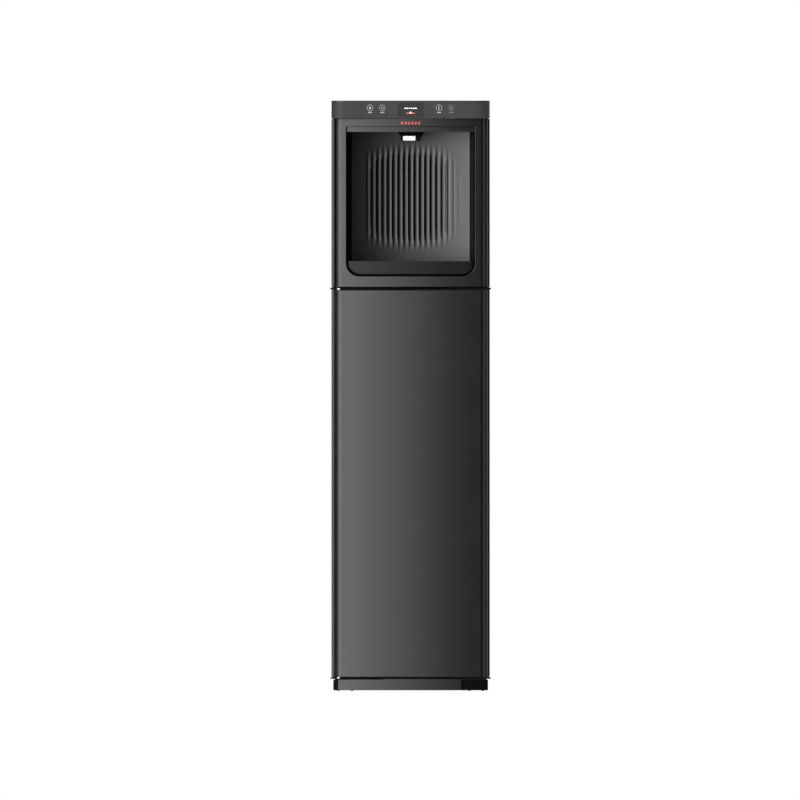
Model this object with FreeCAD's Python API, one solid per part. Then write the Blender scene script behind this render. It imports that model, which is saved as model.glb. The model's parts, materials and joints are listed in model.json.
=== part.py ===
import FreeCAD, Part
import math
import os

# Floor-standing tower water dispenser. Millimetres, +Z up, front towards -Y.
# Origin: on the floor, at the middle of the footprint.

V = FreeCAD.Vector

# ---- driving dimensions -------------------------------------------------------
HALF_W = 147.5          # half width over the side panels
HALF_PLATE = 149.5      # half width of the mid and base plates, whose edges stand proud
HALF_DOOR = 139.6       # half width of the door and of the upper fascia
HEIGHT = 1100.0
Y_FRONT = -170.0        # front face of door, fascia and control panel
Y_SHELL_BACK = -142.0   # back edge of the door and fascia returns
Y_REAR = 168.5          # outer face of the rear panels (screw heads reach 170)
CROWN_R = 700.0         # plan radius of the bowed front of door, fascia, tray and plinth
CROWN_CY = Y_FRONT + CROWN_R
CORNER_R = 12.0         # vertical corners of door and fascia
TOP_R = 24.0            # vertical corners of the control panel and the top cover
PLATE_Y0 = -143.0       # front edge of the mid and base plates, behind the hinge pins
HEM_Y = -144.3          # centre of the small fold in the side panels' front hem
Z_PLINTH_0, Z_PLINTH_1 = 1.1, 21.1
Z_BASE_0, Z_BASE_1 = 22.4, 25.4
Z_DOOR_0, Z_DOOR_1 = 26.6, 746.0
Z_MID_0, Z_MID_1 = 747.6, 751.6
Z_FASCIA_0, Z_FASCIA_1 = 753.2, 1066.0
Z_CTRL_0, Z_CTRL_1 = 1066.7, 1097.3
Z_TOP_0 = 1097.6
SHEET = 1.2             # steel sheet of the side and rear panels
DOOR_T = 1.5            # door skin
FASCIA_T = 2.5          # moulded fascia wall

# dispensing niche
CUT_X, CUT_Z0, CUT_Z1, CUT_R = 120.2, 772.6, 1052.1, 25.0
NICHE_X0, NICHE_Y0 = 119.0, -164.0     # side wall at the front
NICHE_X1, NICHE_Y1 = 110.0, -52.0      # side wall where it meets the back panel
NICHE_YC = -42.0                       # deepest point of the concave back panel
NICHE_R = (NICHE_X1 ** 2 + (NICHE_YC - NICHE_Y1) ** 2) / (2.0 * (NICHE_YC - NICHE_Y1))
NICHE_CY = NICHE_YC - NICHE_R
BACK_T = 4.0
GROOVES = [-81.0 + 10.0 * i for i in range(18)]
GROOVE_W, GROOVE_D = 4.9, 1.3          # half width and depth of a groove
Z_NICHE_FLOOR = 773.2
Z_NICHE_CEIL = 1043.0
TRAY_Z0, TRAY_Z1 = 773.6, 800.8

# door hinge
PIN_X, PIN_Y, PIN_R, BUSH_R, BUSH_OR = -134.3, -148.4, 2.15, 2.2, 3.0

# feet
FOOT_X, FOOT_YF, FOOT_YB, RIDGE_X = 122.0, -109.0, 135.0, 12.6

# rear service recess
REC_X, REC_Z0, REC_Z1, REC_Y = 90.0, 45.0, 125.0, 145.0

# filters
CART_X, CART_Y, CART_R, CART_Z0, CART_Z1 = 78.0, -68.0, 33.0, 385.0, 700.0
NECK_R = 17.95
SOCKET_R = 18.0


# ---- helpers -------------------------------------------------------------------
def box(x0, x1, y0, y1, z0, z1):
    return Part.makeBox(x1 - x0, y1 - y0, z1 - z0, V(x0, y0, z0))


def cyl(x, y, z, r, h, d="z"):
    direction = {"x": V(1, 0, 0), "y": V(0, 1, 0), "z": V(0, 0, 1)}[d]
    return Part.makeCylinder(r, h, V(x, y, z), direction)


def to3(u, v, plane, level):
    return {"z": V(u, v, level), "y": V(u, level, v), "x": V(level, u, v)}[plane]


def prism(pts, plane, a, b):
    """Polygon with optional corner radii (u, v[, r]) in the plane normal to the named axis, from a to b."""
    edges, n, ends = [], len(pts), []
    for i in range(n):
        p = V(pts[i][0], pts[i][1], 0)
        r = pts[i][2] if len(pts[i]) > 2 else 0.0
        if r <= 0:
            ends.append((p, None, p))
            continue
        q, s = V(*pts[i - 1][:2], 0), V(*pts[(i + 1) % n][:2], 0)
        d0, d1 = (q - p).normalize(), (s - p).normalize()
        half = math.acos(max(-1.0, min(1.0, d0.dot(d1)))) / 2.0
        t = r / math.tan(half)
        mid = (d0 + d1).normalize()
        centre = p + mid * (r / math.sin(half))
        ends.append((p + d0 * t, centre - mid * r, p + d1 * t))
    for i in range(n):
        a0, am, a1 = ends[i]
        if am is not None:
            edges.append(Part.Arc(to3(a0.x, a0.y, plane, a), to3(am.x, am.y, plane, a), to3(a1.x, a1.y, plane, a)).toShape())
        b0 = ends[(i + 1) % n][0]
        if (b0 - a1).Length > 1e-6:
            edges.append(Part.LineSegment(to3(a1.x, a1.y, plane, a), to3(b0.x, b0.y, plane, a)).toShape())
    face = Part.Face(Part.Wire(edges))
    return face.extrude(to3(0, 0, plane, b - a) if plane == "z" else {"y": V(0, b - a, 0), "x": V(b - a, 0, 0)}[plane])


def front_round(hx, y0, y1, z0, z1, r, rb=0.0):
    return prism([(-hx, y0, r), (hx, y0, r), (hx, y1, rb), (-hx, y1, rb)], "z", z0, z1)


def crown(inset, z0=0.0, z1=1200.0):
    """Everything behind the bowed front surface, set back by inset."""
    return Part.makeCylinder(CROWN_R - inset, z1 - z0, V(0, CROWN_CY, z0))


def bowed(hx, y1, z0, z1, r, inset=0.0):
    """Block with the bowed front and rounded front vertical corners."""
    b = box(-hx, hx, Y_FRONT - 5, y1, z0, z1).common(crown(inset))
    edges = [e for e in b.Edges if e.BoundBox.ZLength > (z1 - z0) * 0.9 and abs(abs(e.CenterOfMass.x) - hx) < 0.01 and e.CenterOfMass.y < y1 - 0.5]
    return b.makeFillet(r, edges)


def mirror_x(s):
    return s.mirror(V(0, 0, 0), V(1, 0, 0))


def side_x(y):
    return NICHE_X0 - (NICHE_X0 - NICHE_X1) * (y - NICHE_Y0) / (NICHE_Y1 - NICHE_Y0)


def niche_solid(side_off, back_off, y0, z0, z1):
    """Plan of the niche: tapered sides and a concave back, each offset outward, extruded in Z."""
    y = NICHE_Y1
    rr = NICHE_R + back_off
    for _ in range(60):
        x = side_x(y) + side_off
        y = NICHE_CY + math.sqrt(rr * rr - x * x)
    xf = side_x(y0) + side_off
    pts = [V(-xf, y0, z0), V(-x, y, z0), V(x, y, z0), V(xf, y0, z0)]
    edges = [
        Part.LineSegment(pts[0], pts[1]).toShape(),
        Part.Arc(pts[1], V(0, NICHE_CY + rr, z0), pts[2]).toShape(),
        Part.LineSegment(pts[2], pts[3]).toShape(),
        Part.LineSegment(pts[3], pts[0]).toShape(),
    ]
    return Part.Face(Part.Wire(edges)).extrude(V(0, 0, z1 - z0))


def tube(points, r, bend):
    """Round tube along straight runs joined by tangent arcs."""
    p = [V(*q) for q in points]
    edges, start = [], p[0]
    for i in range(1, len(p) - 1):
        d0, d1 = (p[i - 1] - p[i]).normalize(), (p[i + 1] - p[i]).normalize()
        half = math.acos(max(-1.0, min(1.0, d0.dot(d1)))) / 2.0
        t = bend / math.tan(half)
        mid = (d0 + d1).normalize()
        centre = p[i] + mid * (bend / math.sin(half))
        a0, am, a1 = p[i] + d0 * t, centre - mid * bend, p[i] + d1 * t
        edges.append(Part.LineSegment(start, a0).toShape())
        edges.append(Part.Arc(a0, am, a1).toShape())
        start = a1
    edges.append(Part.LineSegment(start, p[-1]).toShape())
    path = Part.Wire(edges)
    ring = Part.Wire([Part.Circle(p[0], (p[1] - p[0]).normalize(), r).toShape()])
    solid = path.makePipeShell([ring], True, False)
    solid = solid if solid.ShapeType == "Solid" else Part.Solid(Part.Shell(solid.Faces))
    expect = math.pi * r * r * path.Length
    print("tube volume ratio %.4f" % (solid.Volume / expect))
    return solid


def screw(x, y, z, d, head_r, head_h, shank_r, length):
    """Pan-head screw: the head's underside is at the point, the shank runs along d."""
    dv = V(*d)
    shank = Part.makeCylinder(shank_r, length, V(x, y, z), dv)
    head = Part.makeCylinder(head_r, head_h, V(x, y, z) - dv * head_h, dv)
    rim = [e for e in head.Edges if e.Curve.TypeId == "Part::GeomCircle" and (e.CenterOfMass - (V(x, y, z) - dv * head_h)).Length < 1e-3]
    head = head.makeFillet(min(0.7, head_h * 0.6), rim)
    return shank.fuse(head).removeSplitter()


def hole(x, y, z, d, r, length):
    dv = V(*d)
    return Part.makeCylinder(r, length, V(x, y, z) - dv * 0.5, dv)


def soft(shape, r, pick):
    edges = [e for e in shape.Edges if pick(e)]
    return shape.makeFillet(r, edges) if edges else shape


PARTS = {}


def put(name, shape):
    solids = shape if isinstance(shape, list) else [shape]
    flat = []
    for s in solids:
        flat.extend(s.Solids)
    PARTS[name] = flat[0] if len(flat) == 1 else Part.makeCompound(flat)


# ---- side panels: rolled sheet with a front hem and a rear flange ------------------
def side_profile():
    hy, q = HEM_Y, math.sqrt(0.5)
    c, c2 = V(-143.5, hy + 2.5, 0), V(-142.5, hy, 0)

    def line(a, b):
        return Part.LineSegment(V(*a, 0), V(*b, 0)).toShape()

    def arc(a, centre, r, sx, sy, b):
        return Part.Arc(V(*a, 0), centre + V(sx * r * q, sy * r * q, 0), V(*b, 0)).toShape()

    return Part.Face(Part.Wire([
        line((-133.0, 167.0), (-147.5, 167.0)),
        line((-147.5, 167.0), (-147.5, hy + 2.5)),
        arc((-147.5, hy + 2.5), c, 4.0, -1, -1, (-143.5, hy - 1.5)),
        line((-143.5, hy - 1.5), (-142.5, hy - 1.5)),
        arc((-142.5, hy - 1.5), c2, 1.5, 1, -1, (-141.0, hy)),
        line((-141.0, hy), (-141.0, -133.5)),
        line((-141.0, -133.5), (-142.2, -133.5)),
        line((-142.2, -133.5), (-142.2, hy)),
        arc((-142.2, hy), c2, 0.3, 1, -1, (-142.5, hy - 0.3)),
        line((-142.5, hy - 0.3), (-143.5, hy - 0.3)),
        arc((-143.5, hy - 0.3), c, 2.8, -1, -1, (-146.3, hy + 2.5)),
        line((-146.3, hy + 2.5), (-146.3, 165.8)),
        line((-146.3, 165.8), (-133.0, 165.8)),
        line((-133.0, 165.8), (-133.0, 167.0)),
    ]))


def side_panel(z0, z1):
    f = side_profile()
    f.translate(V(0, 0, z0))
    return f.extrude(V(0, 0, z1 - z0))


LOW_SCREW_Z = [70.0, 390.0, 705.0]
UP_SCREW_Z = [790.0, 1030.0]
low_holes = [hole(-139.0, Y_REAR, z, (0, -1, 0), 2.0, 6.0) for z in LOW_SCREW_Z]
up_holes = [hole(-139.0, Y_REAR, z, (0, -1, 0), 2.0, 6.0) for z in UP_SCREW_Z]
low_side = side_panel(Z_DOOR_0, 746.4).cut(Part.makeCompound(low_holes))
up_side = side_panel(752.8, Z_FASCIA_1).cut(Part.makeCompound(up_holes))
put("left_lower_side_panel", low_side)
put("right_lower_side_panel", mirror_x(low_side))
put("left_upper_side_panel", up_side)
put("right_upper_side_panel", mirror_x(up_side))

# ---- plates ----------------------------------------------------------------------------
mid = front_round(HALF_PLATE, PLATE_Y0, 167.0, Z_MID_0, Z_MID_1, 6.0, 3.0)
for s in (-1, 1):
    x0, x1 = sorted((s * 142.5, s * 146.3))
    mid = mid.fuse(box(x0, x1, -130, 150, Z_MID_0 - 5.6, Z_MID_1 + 5.4))
mid = mid.fuse(box(-142.5, 142.5, 158.0, 160.0, Z_MID_0 - 5.6, Z_MID_1 + 5.4))
mid = mid.removeSplitter()
mid = mid.cut(prism([(-45, 95, 6), (45, 95, 6), (45, 140, 6), (-45, 140, 6)], "z", 740, 760))
base = front_round(HALF_PLATE, PLATE_Y0, 167.0, Z_BASE_0, Z_BASE_1, 6.0, 3.0)
for s in (-1, 1):
    x0, x1 = sorted((s * 142.5, s * 146.3))
    base = base.fuse(box(x0, x1, -130, 150, Z_BASE_1, 38.0))
base = base.fuse(box(-142.5, 142.5, 158.0, 160.0, Z_BASE_1, 34.0))
base = base.removeSplitter()

# hinge brackets and pins
BR_SCREWS = [(-112.0, -132.0), (-66.0, -132.0)]
ub = prism([(-140.5, -154.4, 4.5), (-124, -154.4, 8), (-112, -143, 8), (-52, -143, 3), (-52, -118, 3), (-140.5, -118, 3)], "z", Z_MID_1, Z_MID_1 + 1.5)
lb = prism([(-140.5, -154.4, 4.5), (-124, -154.4, 8), (-112, -143, 8), (-52, -143, 3), (-52, -126, 3), (-140.5, -126, 3)], "z", 21.15, Z_BASE_0)
ub = ub.cut(cyl(PIN_X, PIN_Y, 740, PIN_R, 20))
lb = lb.cut(cyl(PIN_X, PIN_Y, 15, PIN_R, 20))
br_screws = []
for x, y in BR_SCREWS:
    ub = ub.cut(cyl(x, y, 740, 1.6, 20))
    mid = mid.cut(cyl(x, y, 740, 1.6, 20))
    br_screws.append(screw(x, y, Z_MID_0, (0, 0, 1), 3.0, 1.3, 1.5, 5.2))
    lb = lb.cut(cyl(x, y, 15, 1.6, 20))
    base = base.cut(cyl(x, y, 15, 1.6, 20))
    br_screws.append(screw(x, y, Z_BASE_1, (0, 0, -1), 3.0, 1.0, 1.5, 4.2))
put("mid_plate", mid)
put("hinge_brackets", [ub, lb])
up_pin = cyl(PIN_X, PIN_Y, 734.0, PIN_R, Z_MID_1 + 1.5 - 734.0)
up_pin = soft(up_pin, 0.6, lambda e: e.CenterOfMass.z < 734.1 and e.Curve.TypeId == "Part::GeomCircle")
lo_pin = cyl(PIN_X, PIN_Y, 21.15, PIN_R, 17.5)
lo_pin = soft(lo_pin, 0.6, lambda e: e.CenterOfMass.z > 38.6 and e.Curve.TypeId == "Part::GeomCircle")
put("hinge_pins", [up_pin, lo_pin])

# ---- plinth and feet --------------------------------------------------------------------
PL_IN = 8.0             # how far the plinth stands back from the door
plinth = bowed(143.9, 160.0, Z_PLINTH_0, Z_PLINTH_1, 8.0, PL_IN)
plinth = plinth.cut(bowed(141.4, 157.5, 0.0, 30.0, 5.5, PL_IN + 2.5))
# inner lip that closes the shadow gap under the base plate
lip = bowed(141.6, 157.7, 14.0, Z_BASE_0, 5.7, PL_IN + 2.3).cut(bowed(139.4, 155.5, 10.0, 30.0, 4.5, PL_IN + 4.5))
lip = lip.cut(box(-143, -49, -170, -124, 21.0, 30))
plinth = plinth.fuse(lip)
feet = []
base_screws = []
for x in (-FOOT_X, FOOT_X):
    for y in (FOOT_YF, FOOT_YB):
        boss = prism([(x - 16, y - 16, 4), (x + 16, y - 16, 4), (x + 16, y + 16, 4), (x - 16, y + 16, 4)], "z", 4.4, Z_BASE_0)
        s = 1 if x > 0 else -1
        arm = box(min(x + s * 15.5, s * 142.0), max(x + s * 15.5, s * 142.0), y - 5, y + 5, 4.4, 20.9)
        plinth = plinth.fuse(boss).fuse(arm)
        pad = prism([(x - 15, y - 15, 4), (x + 15, y - 15, 4), (x + 15, y + 15, 4), (x - 15, y + 15, 4)], "z", 1.2, 4.4)
        for dx in (-RIDGE_X, RIDGE_X):
            pad = pad.fuse(prism([(x + dx - 2.4, y - 12, 2), (x + dx + 2.4, y - 12, 2), (x + dx + 2.4, y + 12, 2), (x + dx - 2.4, y + 12, 2)], "z", 0.0, 1.2))
        feet.append(pad.removeSplitter())
        plinth = plinth.cut(cyl(x, y, 8.0, 2.0, 20))
        base = base.cut(cyl(x, y, 20, 2.1, 10))
        base_screws.append(screw(x, y, Z_BASE_1, (0, 0, -1), 4.0, 2.2, 1.9, 14.0))
plinth = plinth.removeSplitter()
put("plinth", plinth)
put("rubber_feet", feet)
put("chassis_screws", br_screws + base_screws)
put("base_plate", base)

# ---- rear panels -------------------------------------------------------------------------
def slots(z_list, x_list, length, h, y0, y1):
    out = []
    for z in z_list:
        for x in x_list:
            out.append(prism([(x - length / 2, z - h / 2, h / 2 - 0.05), (x + length / 2, z - h / 2, h / 2 - 0.05), (x + length / 2, z + h / 2, h / 2 - 0.05), (x - length / 2, z + h / 2, h / 2 - 0.05)], "y", y0, y1))
    return out


rear_low = prism([(-HALF_W, Z_DOOR_0, 3), (HALF_W, Z_DOOR_0, 3), (HALF_W, 746.4, 3), (-HALF_W, 746.4, 3)], "y", 167.3, Y_REAR)
vents = slots([560 + 11 * i for i in range(12)], [-60.0, 60.0], 84.0, 4.4, 160, 175)
vents += slots([170 + 11 * i for i in range(6)], [-60.0, 60.0], 84.0, 4.4, 160, 175)
rear_low = rear_low.cut(Part.makeCompound(vents))
rear_low = rear_low.cut(prism([(-REC_X, REC_Z0, 6), (REC_X, REC_Z0, 6), (REC_X, REC_Z1, 6), (-REC_X, REC_Z1, 6)], "y", 160, 175))
rear_up = prism([(-HALF_W, 752.8, 3), (HALF_W, 752.8, 3), (HALF_W, Z_FASCIA_1, 3), (-HALF_W, Z_FASCIA_1, 3)], "y", 167.3, Y_REAR)
rear_up = rear_up.cut(Part.makeCompound(slots([930 + 11 * i for i in range(9)], [-60.0, 60.0], 84.0, 4.4, 160, 175)))
screws = []
for s in (-1, 1):
    for z in LOW_SCREW_Z:
        rear_low = rear_low.cut(hole(s * 139.0, Y_REAR, z, (0, -1, 0), 2.0, 6.0))
        screws.append(screw(s * 139.0, Y_REAR, z, (0, -1, 0), 3.6, 1.5, 1.9, 8.0))
    for z in UP_SCREW_Z:
        rear_up = rear_up.cut(hole(s * 139.0, Y_REAR, z, (0, -1, 0), 2.0, 6.0))
        screws.append(screw(s * 139.0, Y_REAR, z, (0, -1, 0), 3.6, 1.5, 1.9, 8.0))
put("rear_lower_panel", rear_low)
put("rear_upper_panel", rear_up)
put("rear_panel_screws", screws)

# rear service recess with its fittings
rec = prism([(-REC_X - 8, REC_Z0 - 8, 6), (REC_X + 8, REC_Z0 - 8, 6), (REC_X + 8, REC_Z1 + 8, 6), (-REC_X - 8, REC_Z1 + 8, 6)], "y", 165.3, 167.3)
rec = rec.fuse(prism([(-REC_X, REC_Z0, 6), (REC_X, REC_Z0, 6), (REC_X, REC_Z1, 6), (-REC_X, REC_Z1, 6)], "y", REC_Y, 167.3))
rec = rec.cut(prism([(-REC_X + 2, REC_Z0 + 2, 4), (REC_X - 2, REC_Z0 + 2, 4), (REC_X - 2, REC_Z1 - 2, 4), (-REC_X + 2, REC_Z1 - 2, 4)], "y", REC_Y + 2, 180))
ZF = 85.0
# mains inlet: a shrouded three-pin appliance inlet
mx = -58.0
rec = rec.cut(box(mx - 14.1, mx + 14.1, 130, 150, ZF - 12.1, ZF + 12.1))
inlet = prism([(mx - 18, ZF - 15, 3), (mx + 18, ZF - 15, 3), (mx + 18, ZF + 15, 3), (mx - 18, ZF + 15, 3)], "y", REC_Y + 2, REC_Y + 5)
inlet = inlet.fuse(box(mx - 14, mx + 14, REC_Y - 17, REC_Y + 2, ZF - 12, ZF + 12))
inlet = inlet.cut(prism([(mx - 12, ZF - 9, 1), (mx + 12, ZF - 9, 1), (mx + 12, ZF + 9, 5), (mx - 12, ZF + 9, 5)], "y", REC_Y - 12, REC_Y + 10))
for dx, dz in ((-7, 1.5), (7, 1.5), (0, 5.5)):
    inlet = inlet.fuse(box(mx + dx - 1, mx + dx + 1, REC_Y - 22, REC_Y + 1, ZF + dz - 2, ZF + dz + 2))
put("mains_inlet", inlet.removeSplitter())
# rocker switch
rx = -12.0
rec = rec.cut(box(rx - 10.6, rx + 10.6, 130, 150, ZF - 14.1, ZF + 14.1))
sw = prism([(rx - 12.5, ZF - 16, 2), (rx + 12.5, ZF - 16, 2), (rx + 12.5, ZF + 16, 2), (rx - 12.5, ZF + 16, 2)], "y", REC_Y + 2, REC_Y + 4)
sw = sw.fuse(box(rx - 10.5, rx + 10.5, REC_Y - 14, REC_Y + 2, ZF - 14, ZF + 14))
sw = sw.cut(box(rx - 8.4, rx + 8.4, REC_Y - 11, REC_Y + 10, ZF - 12.0, ZF + 12.0))
RK_Y, RK_Z = REC_Y - 1.0, ZF
sw = sw.cut(cyl(rx - 9.9, RK_Y, RK_Z, 1.55, 19.8, "x"))
put("power_switch_housing", sw.removeSplitter())
# the rocker is drawn in its off position, its upper half standing proud
rk = prism([(RK_Y - 4.5, RK_Z - 4.0, 1.0), (RK_Y + 0.4, RK_Z - 10.4, 0.8), (RK_Y + 3.6, RK_Z - 10.6, 0.8), (RK_Y + 4.4, RK_Z, 0), (RK_Y + 6.6, RK_Z + 9.8, 0.8), (RK_Y + 2.4, RK_Z + 11.2, 0.8), (RK_Y - 4.5, RK_Z + 4.0, 1.0)], "x", rx - 8.0, rx + 8.0)
rk = rk.fuse(cyl(rx - 9.6, RK_Y, RK_Z, 1.5, 19.2, "x")).removeSplitter()
put("power_rocker", rk)
# bulkhead water inlet for a quarter-inch tube, and a drain with a cap
wx, dx = 30.0, 64.0
rec = rec.cut(cyl(wx, 130, ZF, 7.1, 20, "y")).cut(cyl(dx, 130, ZF, 8.1, 20, "y"))
win = cyl(wx, REC_Y - 8, ZF, 7.0, 10, "y").fuse(cyl(wx, REC_Y + 2, ZF, 11.0, 3, "y")).fuse(cyl(wx, REC_Y + 5, ZF, 8.0, 13, "y"))
win = win.cut(cyl(wx, REC_Y + 0, ZF, 3.2, 30, "y")).cut(cyl(wx, REC_Y - 20, ZF, 2.2, 30, "y"))
put("water_inlet_fitting", win.removeSplitter())
dr = cyl(dx, REC_Y - 12, ZF, 8.0, 14, "y").fuse(cyl(dx, REC_Y + 2, ZF, 11.5, 2.5, "y")).fuse(cyl(dx, REC_Y + 4.5, ZF, 7.0, 9.5, "y"))
dr = dr.cut(cyl(dx, REC_Y - 20, ZF, 4.5, 60, "y"))
put("drain_fitting", dr.removeSplitter())
cap = cyl(dx, REC_Y + 5.0, ZF, 10.0, 12.5, "y")
cap = soft(cap, 1.5, lambda e: e.CenterOfMass.y > REC_Y + 17.4 and e.Curve.TypeId == "Part::GeomCircle")
cap = cap.cut(cyl(dx, REC_Y + 4.0, ZF, 7.05, 10.5, "y"))
flutes = [cyl(dx + 10.9 * math.cos(math.radians(30 * i)), REC_Y + 4, ZF + 10.9 * math.sin(math.radians(30 * i)), 1.6, 12.0, "y") for i in range(12)]
put("drain_cap", cap.cut(Part.makeCompound(flutes)))
put("rear_service_recess", rec.removeSplitter())

# ---- top cover and control panel -----------------------------------------------------------
top = prism([(-HALF_W, Y_FRONT, TOP_R), (HALF_W, Y_FRONT, TOP_R), (HALF_W, Y_REAR, 6), (-HALF_W, Y_REAR, 6)], "z", Z_CTRL_0, HEIGHT)
top = top.cut(prism([(-145, -200), (145, -200), (145, 166, 4), (-145, 166, 4)], "z", 1060, Z_TOP_0))
top = top.cut(box(-200, 200, -200, -139.3, 1060, Z_TOP_0))
top = soft(top, 1.0, lambda e: e.BoundBox.ZMin > HEIGHT - 0.01)
inner_skirt = prism([(-145, -139.3), (145, -139.3), (145, 165.0, 4), (-145, 165.0, 4)], "z", 1061.0, Z_TOP_0 + 0.5)
inner_skirt = inner_skirt.cut(prism([(-143.6, -200), (143.6, -200), (143.6, 163.6, 3), (-143.6, 163.6, 3)], "z", 1050, Z_TOP_0))
top = top.fuse(inner_skirt).removeSplitter()
put("top_cover", top)
ctrl = front_round(HALF_W, Y_FRONT, -139.6, Z_CTRL_0, Z_CTRL_1, TOP_R)
ctrl = ctrl.cut(front_round(HALF_W - 3, Y_FRONT + 3, -130, Z_CTRL_0 + 2, Z_CTRL_1 + 5, TOP_R - 3))
WIN_X, WIN_Z0, WIN_Z1 = 24.8, 1069.3, 1096.6
ctrl = ctrl.cut(box(-WIN_X, WIN_X, -180, -160, WIN_Z0, WIN_Z1))
for x in (-96.0, 96.0):
    for z in (1073.0, 1091.0):
        ctrl = ctrl.fuse(cyl(x, Y_FRONT + 3, z, 2.2, 3.0, "y"))
put("control_panel", ctrl.removeSplitter())
put("display_window", box(-WIN_X + 0.15, WIN_X - 0.15, -169.9, -167.3, WIN_Z0 + 0.15, WIN_Z1 - 0.15))
board = box(-102, 102, -164.0, -162.4, 1070.5, 1093.5)
board = board.fuse(box(-22, 22, -166.4, -164.0, 1072, 1092))
for x in (-75.6, -52.7, 52.7, 75.6):
    board = board.fuse(cyl(x, -166.6, 1083.5, 6.0, 2.6, "y"))
board = board.fuse(box(-60, -35, -162.4, -158.5, 1076, 1088)).fuse(box(40, 72, -162.4, -156.0, 1078, 1086))
put("display_board", board.removeSplitter())

# ---- upper fascia ----------------------------------------------------------------------------
fas = bowed(HALF_DOOR, Y_SHELL_BACK, Z_FASCIA_0, Z_FASCIA_1, CORNER_R)
fas = fas.cut(bowed(HALF_DOOR - FASCIA_T, Y_SHELL_BACK + 5, Z_FASCIA_0 + FASCIA_T, Z_FASCIA_1 - FASCIA_T, CORNER_R - FASCIA_T, FASCIA_T))
cut_pts = [(-CUT_X, CUT_Z0, CUT_R), (CUT_X, CUT_Z0, CUT_R), (CUT_X, CUT_Z1, 2.0), (-CUT_X, CUT_Z1, 2.0)]
fas = fas.cut(prism(cut_pts, "y", -190, -150))


def on_cut(e):
    """Edges of the cut-out on the front surface."""
    m, bb = e.CenterOfMass, e.BoundBox
    inside = abs(bb.XMin) < CUT_X + 0.5 and abs(bb.XMax) < CUT_X + 0.5 and bb.ZMin > CUT_Z0 - 0.5 and bb.ZMax < CUT_Z1 + 0.5
    p = e.Vertexes[0].Point
    return inside and all(abs(math.hypot(v.X, v.Y - CROWN_CY) - CROWN_R) < 0.05 for v in e.Vertexes)


fas = fas.makeFillet(0.8, [e for e in fas.Edges if on_cut(e)])
put("upper_fascia", fas)

# ---- niche -------------------------------------------------------------------------------------
liner = niche_solid(2.5, BACK_T + 0.2 + 2.5, -172.0, Z_NICHE_FLOOR - 2.5, Z_NICHE_CEIL)
liner = liner.fuse(prism([(-126, 762, 6), (126, 762, 6), (126, 1061, 6), (-126, 1061, 6)], "y", -172.0, -130.0).cut(crown(FASCIA_T + 2.0)))
liner = liner.common(crown(FASCIA_T))
inner = niche_solid(0.0, BACK_T + 0.2, -175.0, Z_NICHE_FLOOR, Z_NICHE_CEIL + 20)
liner = liner.cut(inner)
liner = liner.cut(box(-119.6, 119.6, -180, -150, 1040.0, 1054.5).cut(crown(FASCIA_T + 4.5)))
put("niche_liner", liner.removeSplitter())

back = niche_solid(-0.15, BACK_T, -60.0, Z_NICHE_FLOOR + 0.2, Z_NICHE_CEIL - 0.2)
back = back.cut(Part.makeCylinder(NICHE_R, 400, V(0, NICHE_CY, 700)))


def groove_ends(x):
    """Top and bottom of a groove: the row ends on a shallow arc."""
    k = (abs(x - 4.0) / 85.0) ** 2
    return 818.0 + 13.0 * k, 1023.0 - 13.0 * k


def groove(x):
    zb, zt = groove_ends(x)
    d, w, e = GROOVE_D, GROOVE_W, 1.5
    W2 = w * (d + e) / d
    z1, z2 = zb + 34.0, zt - 34.0
    z0, z3 = zb - (z1 - zb) * e / d, zt + (zt - z2) * e / d
    a = V(0, -e, z0)
    b = V(0, -e, z3)
    l1, r1, k1 = V(-W2, -e, z1), V(W2, -e, z1), V(0, d, z1)
    l2, r2, k2 = V(-W2, -e, z2), V(W2, -e, z2), V(0, d, z2)
    polys = [[a, l1, k1], [a, k1, r1], [l1, l2, k2, k1], [r1, k1, k2, r2], [b, k2, l2], [b, r2, k2], [a, r1, r2, b, l2, l1]]
    solid = Part.Solid(Part.Shell([Part.Face(Part.makePolygon(p + [p[0]])) for p in polys]))
    if solid.Volume < 0:
        solid.reverse()
    ang = math.degrees(math.asin(x / NICHE_R))
    solid.rotate(V(0, 0, 0), V(0, 0, 1), -ang)
    solid.translate(V(x, NICHE_CY + math.sqrt(NICHE_R ** 2 - x * x), 0))
    return solid


back = back.cut(Part.makeCompound([groove(x) for x in GROOVES]))
put("ribbed_back_panel", back)

ceil = niche_solid(2.5, BACK_T + 2.7, -175.0, Z_NICHE_CEIL, Z_NICHE_CEIL + 2.5).common(crown(FASCIA_T + 4.5))
NX, NY = 1.2, -116.0
ceil = ceil.cut(box(NX - 21.2, NX + 21.2, NY - 18.2, NY + 18.2, 1030, 1060))
put("niche_ceiling", ceil)
strip = box(-119.3, 119.3, -180, -140, 1041.8, 1054.4).common(crown(FASCIA_T + 2.1)).cut(crown(FASCIA_T + 4.5, 0, 1200))
put("ceiling_trim_strip", strip)

# nozzle: black funnel-shaped housing, white spout, small level sensor beside it
hub = Part.makeLoft([
    Part.makePolygon([V(NX - 26, NY - 25, 1043.0), V(NX + 26, NY - 25, 1043.0), V(NX + 26, NY + 25, 1043.0), V(NX - 26, NY + 25, 1043.0), V(NX - 26, NY - 25, 1043.0)]),
    Part.makePolygon([V(NX - 20, NY - 19, 1034.0), V(NX + 20, NY - 19, 1034.0), V(NX + 20, NY + 19, 1034.0), V(NX - 20, NY + 19, 1034.0), V(NX - 20, NY - 19, 1034.0)]),
], True, True)
hub = hub.fuse(box(NX - 21, NX + 21, NY - 18, NY + 18, 1043.0, 1052.0))
hub = hub.fuse(box(NX - 19.6, NX + 18.4, NY - 16, NY + 16, 1026.0, 1034.0))
hub = hub.cut(box(-14.15, 8.85, NY - 17.0, NY + 12.15, 1020, 1034.0))
SPX, SPY = -2.65, NY - 2.0
hub = hub.cut(cyl(SPX, SPY, 1020, 6.1, 60))
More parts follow.
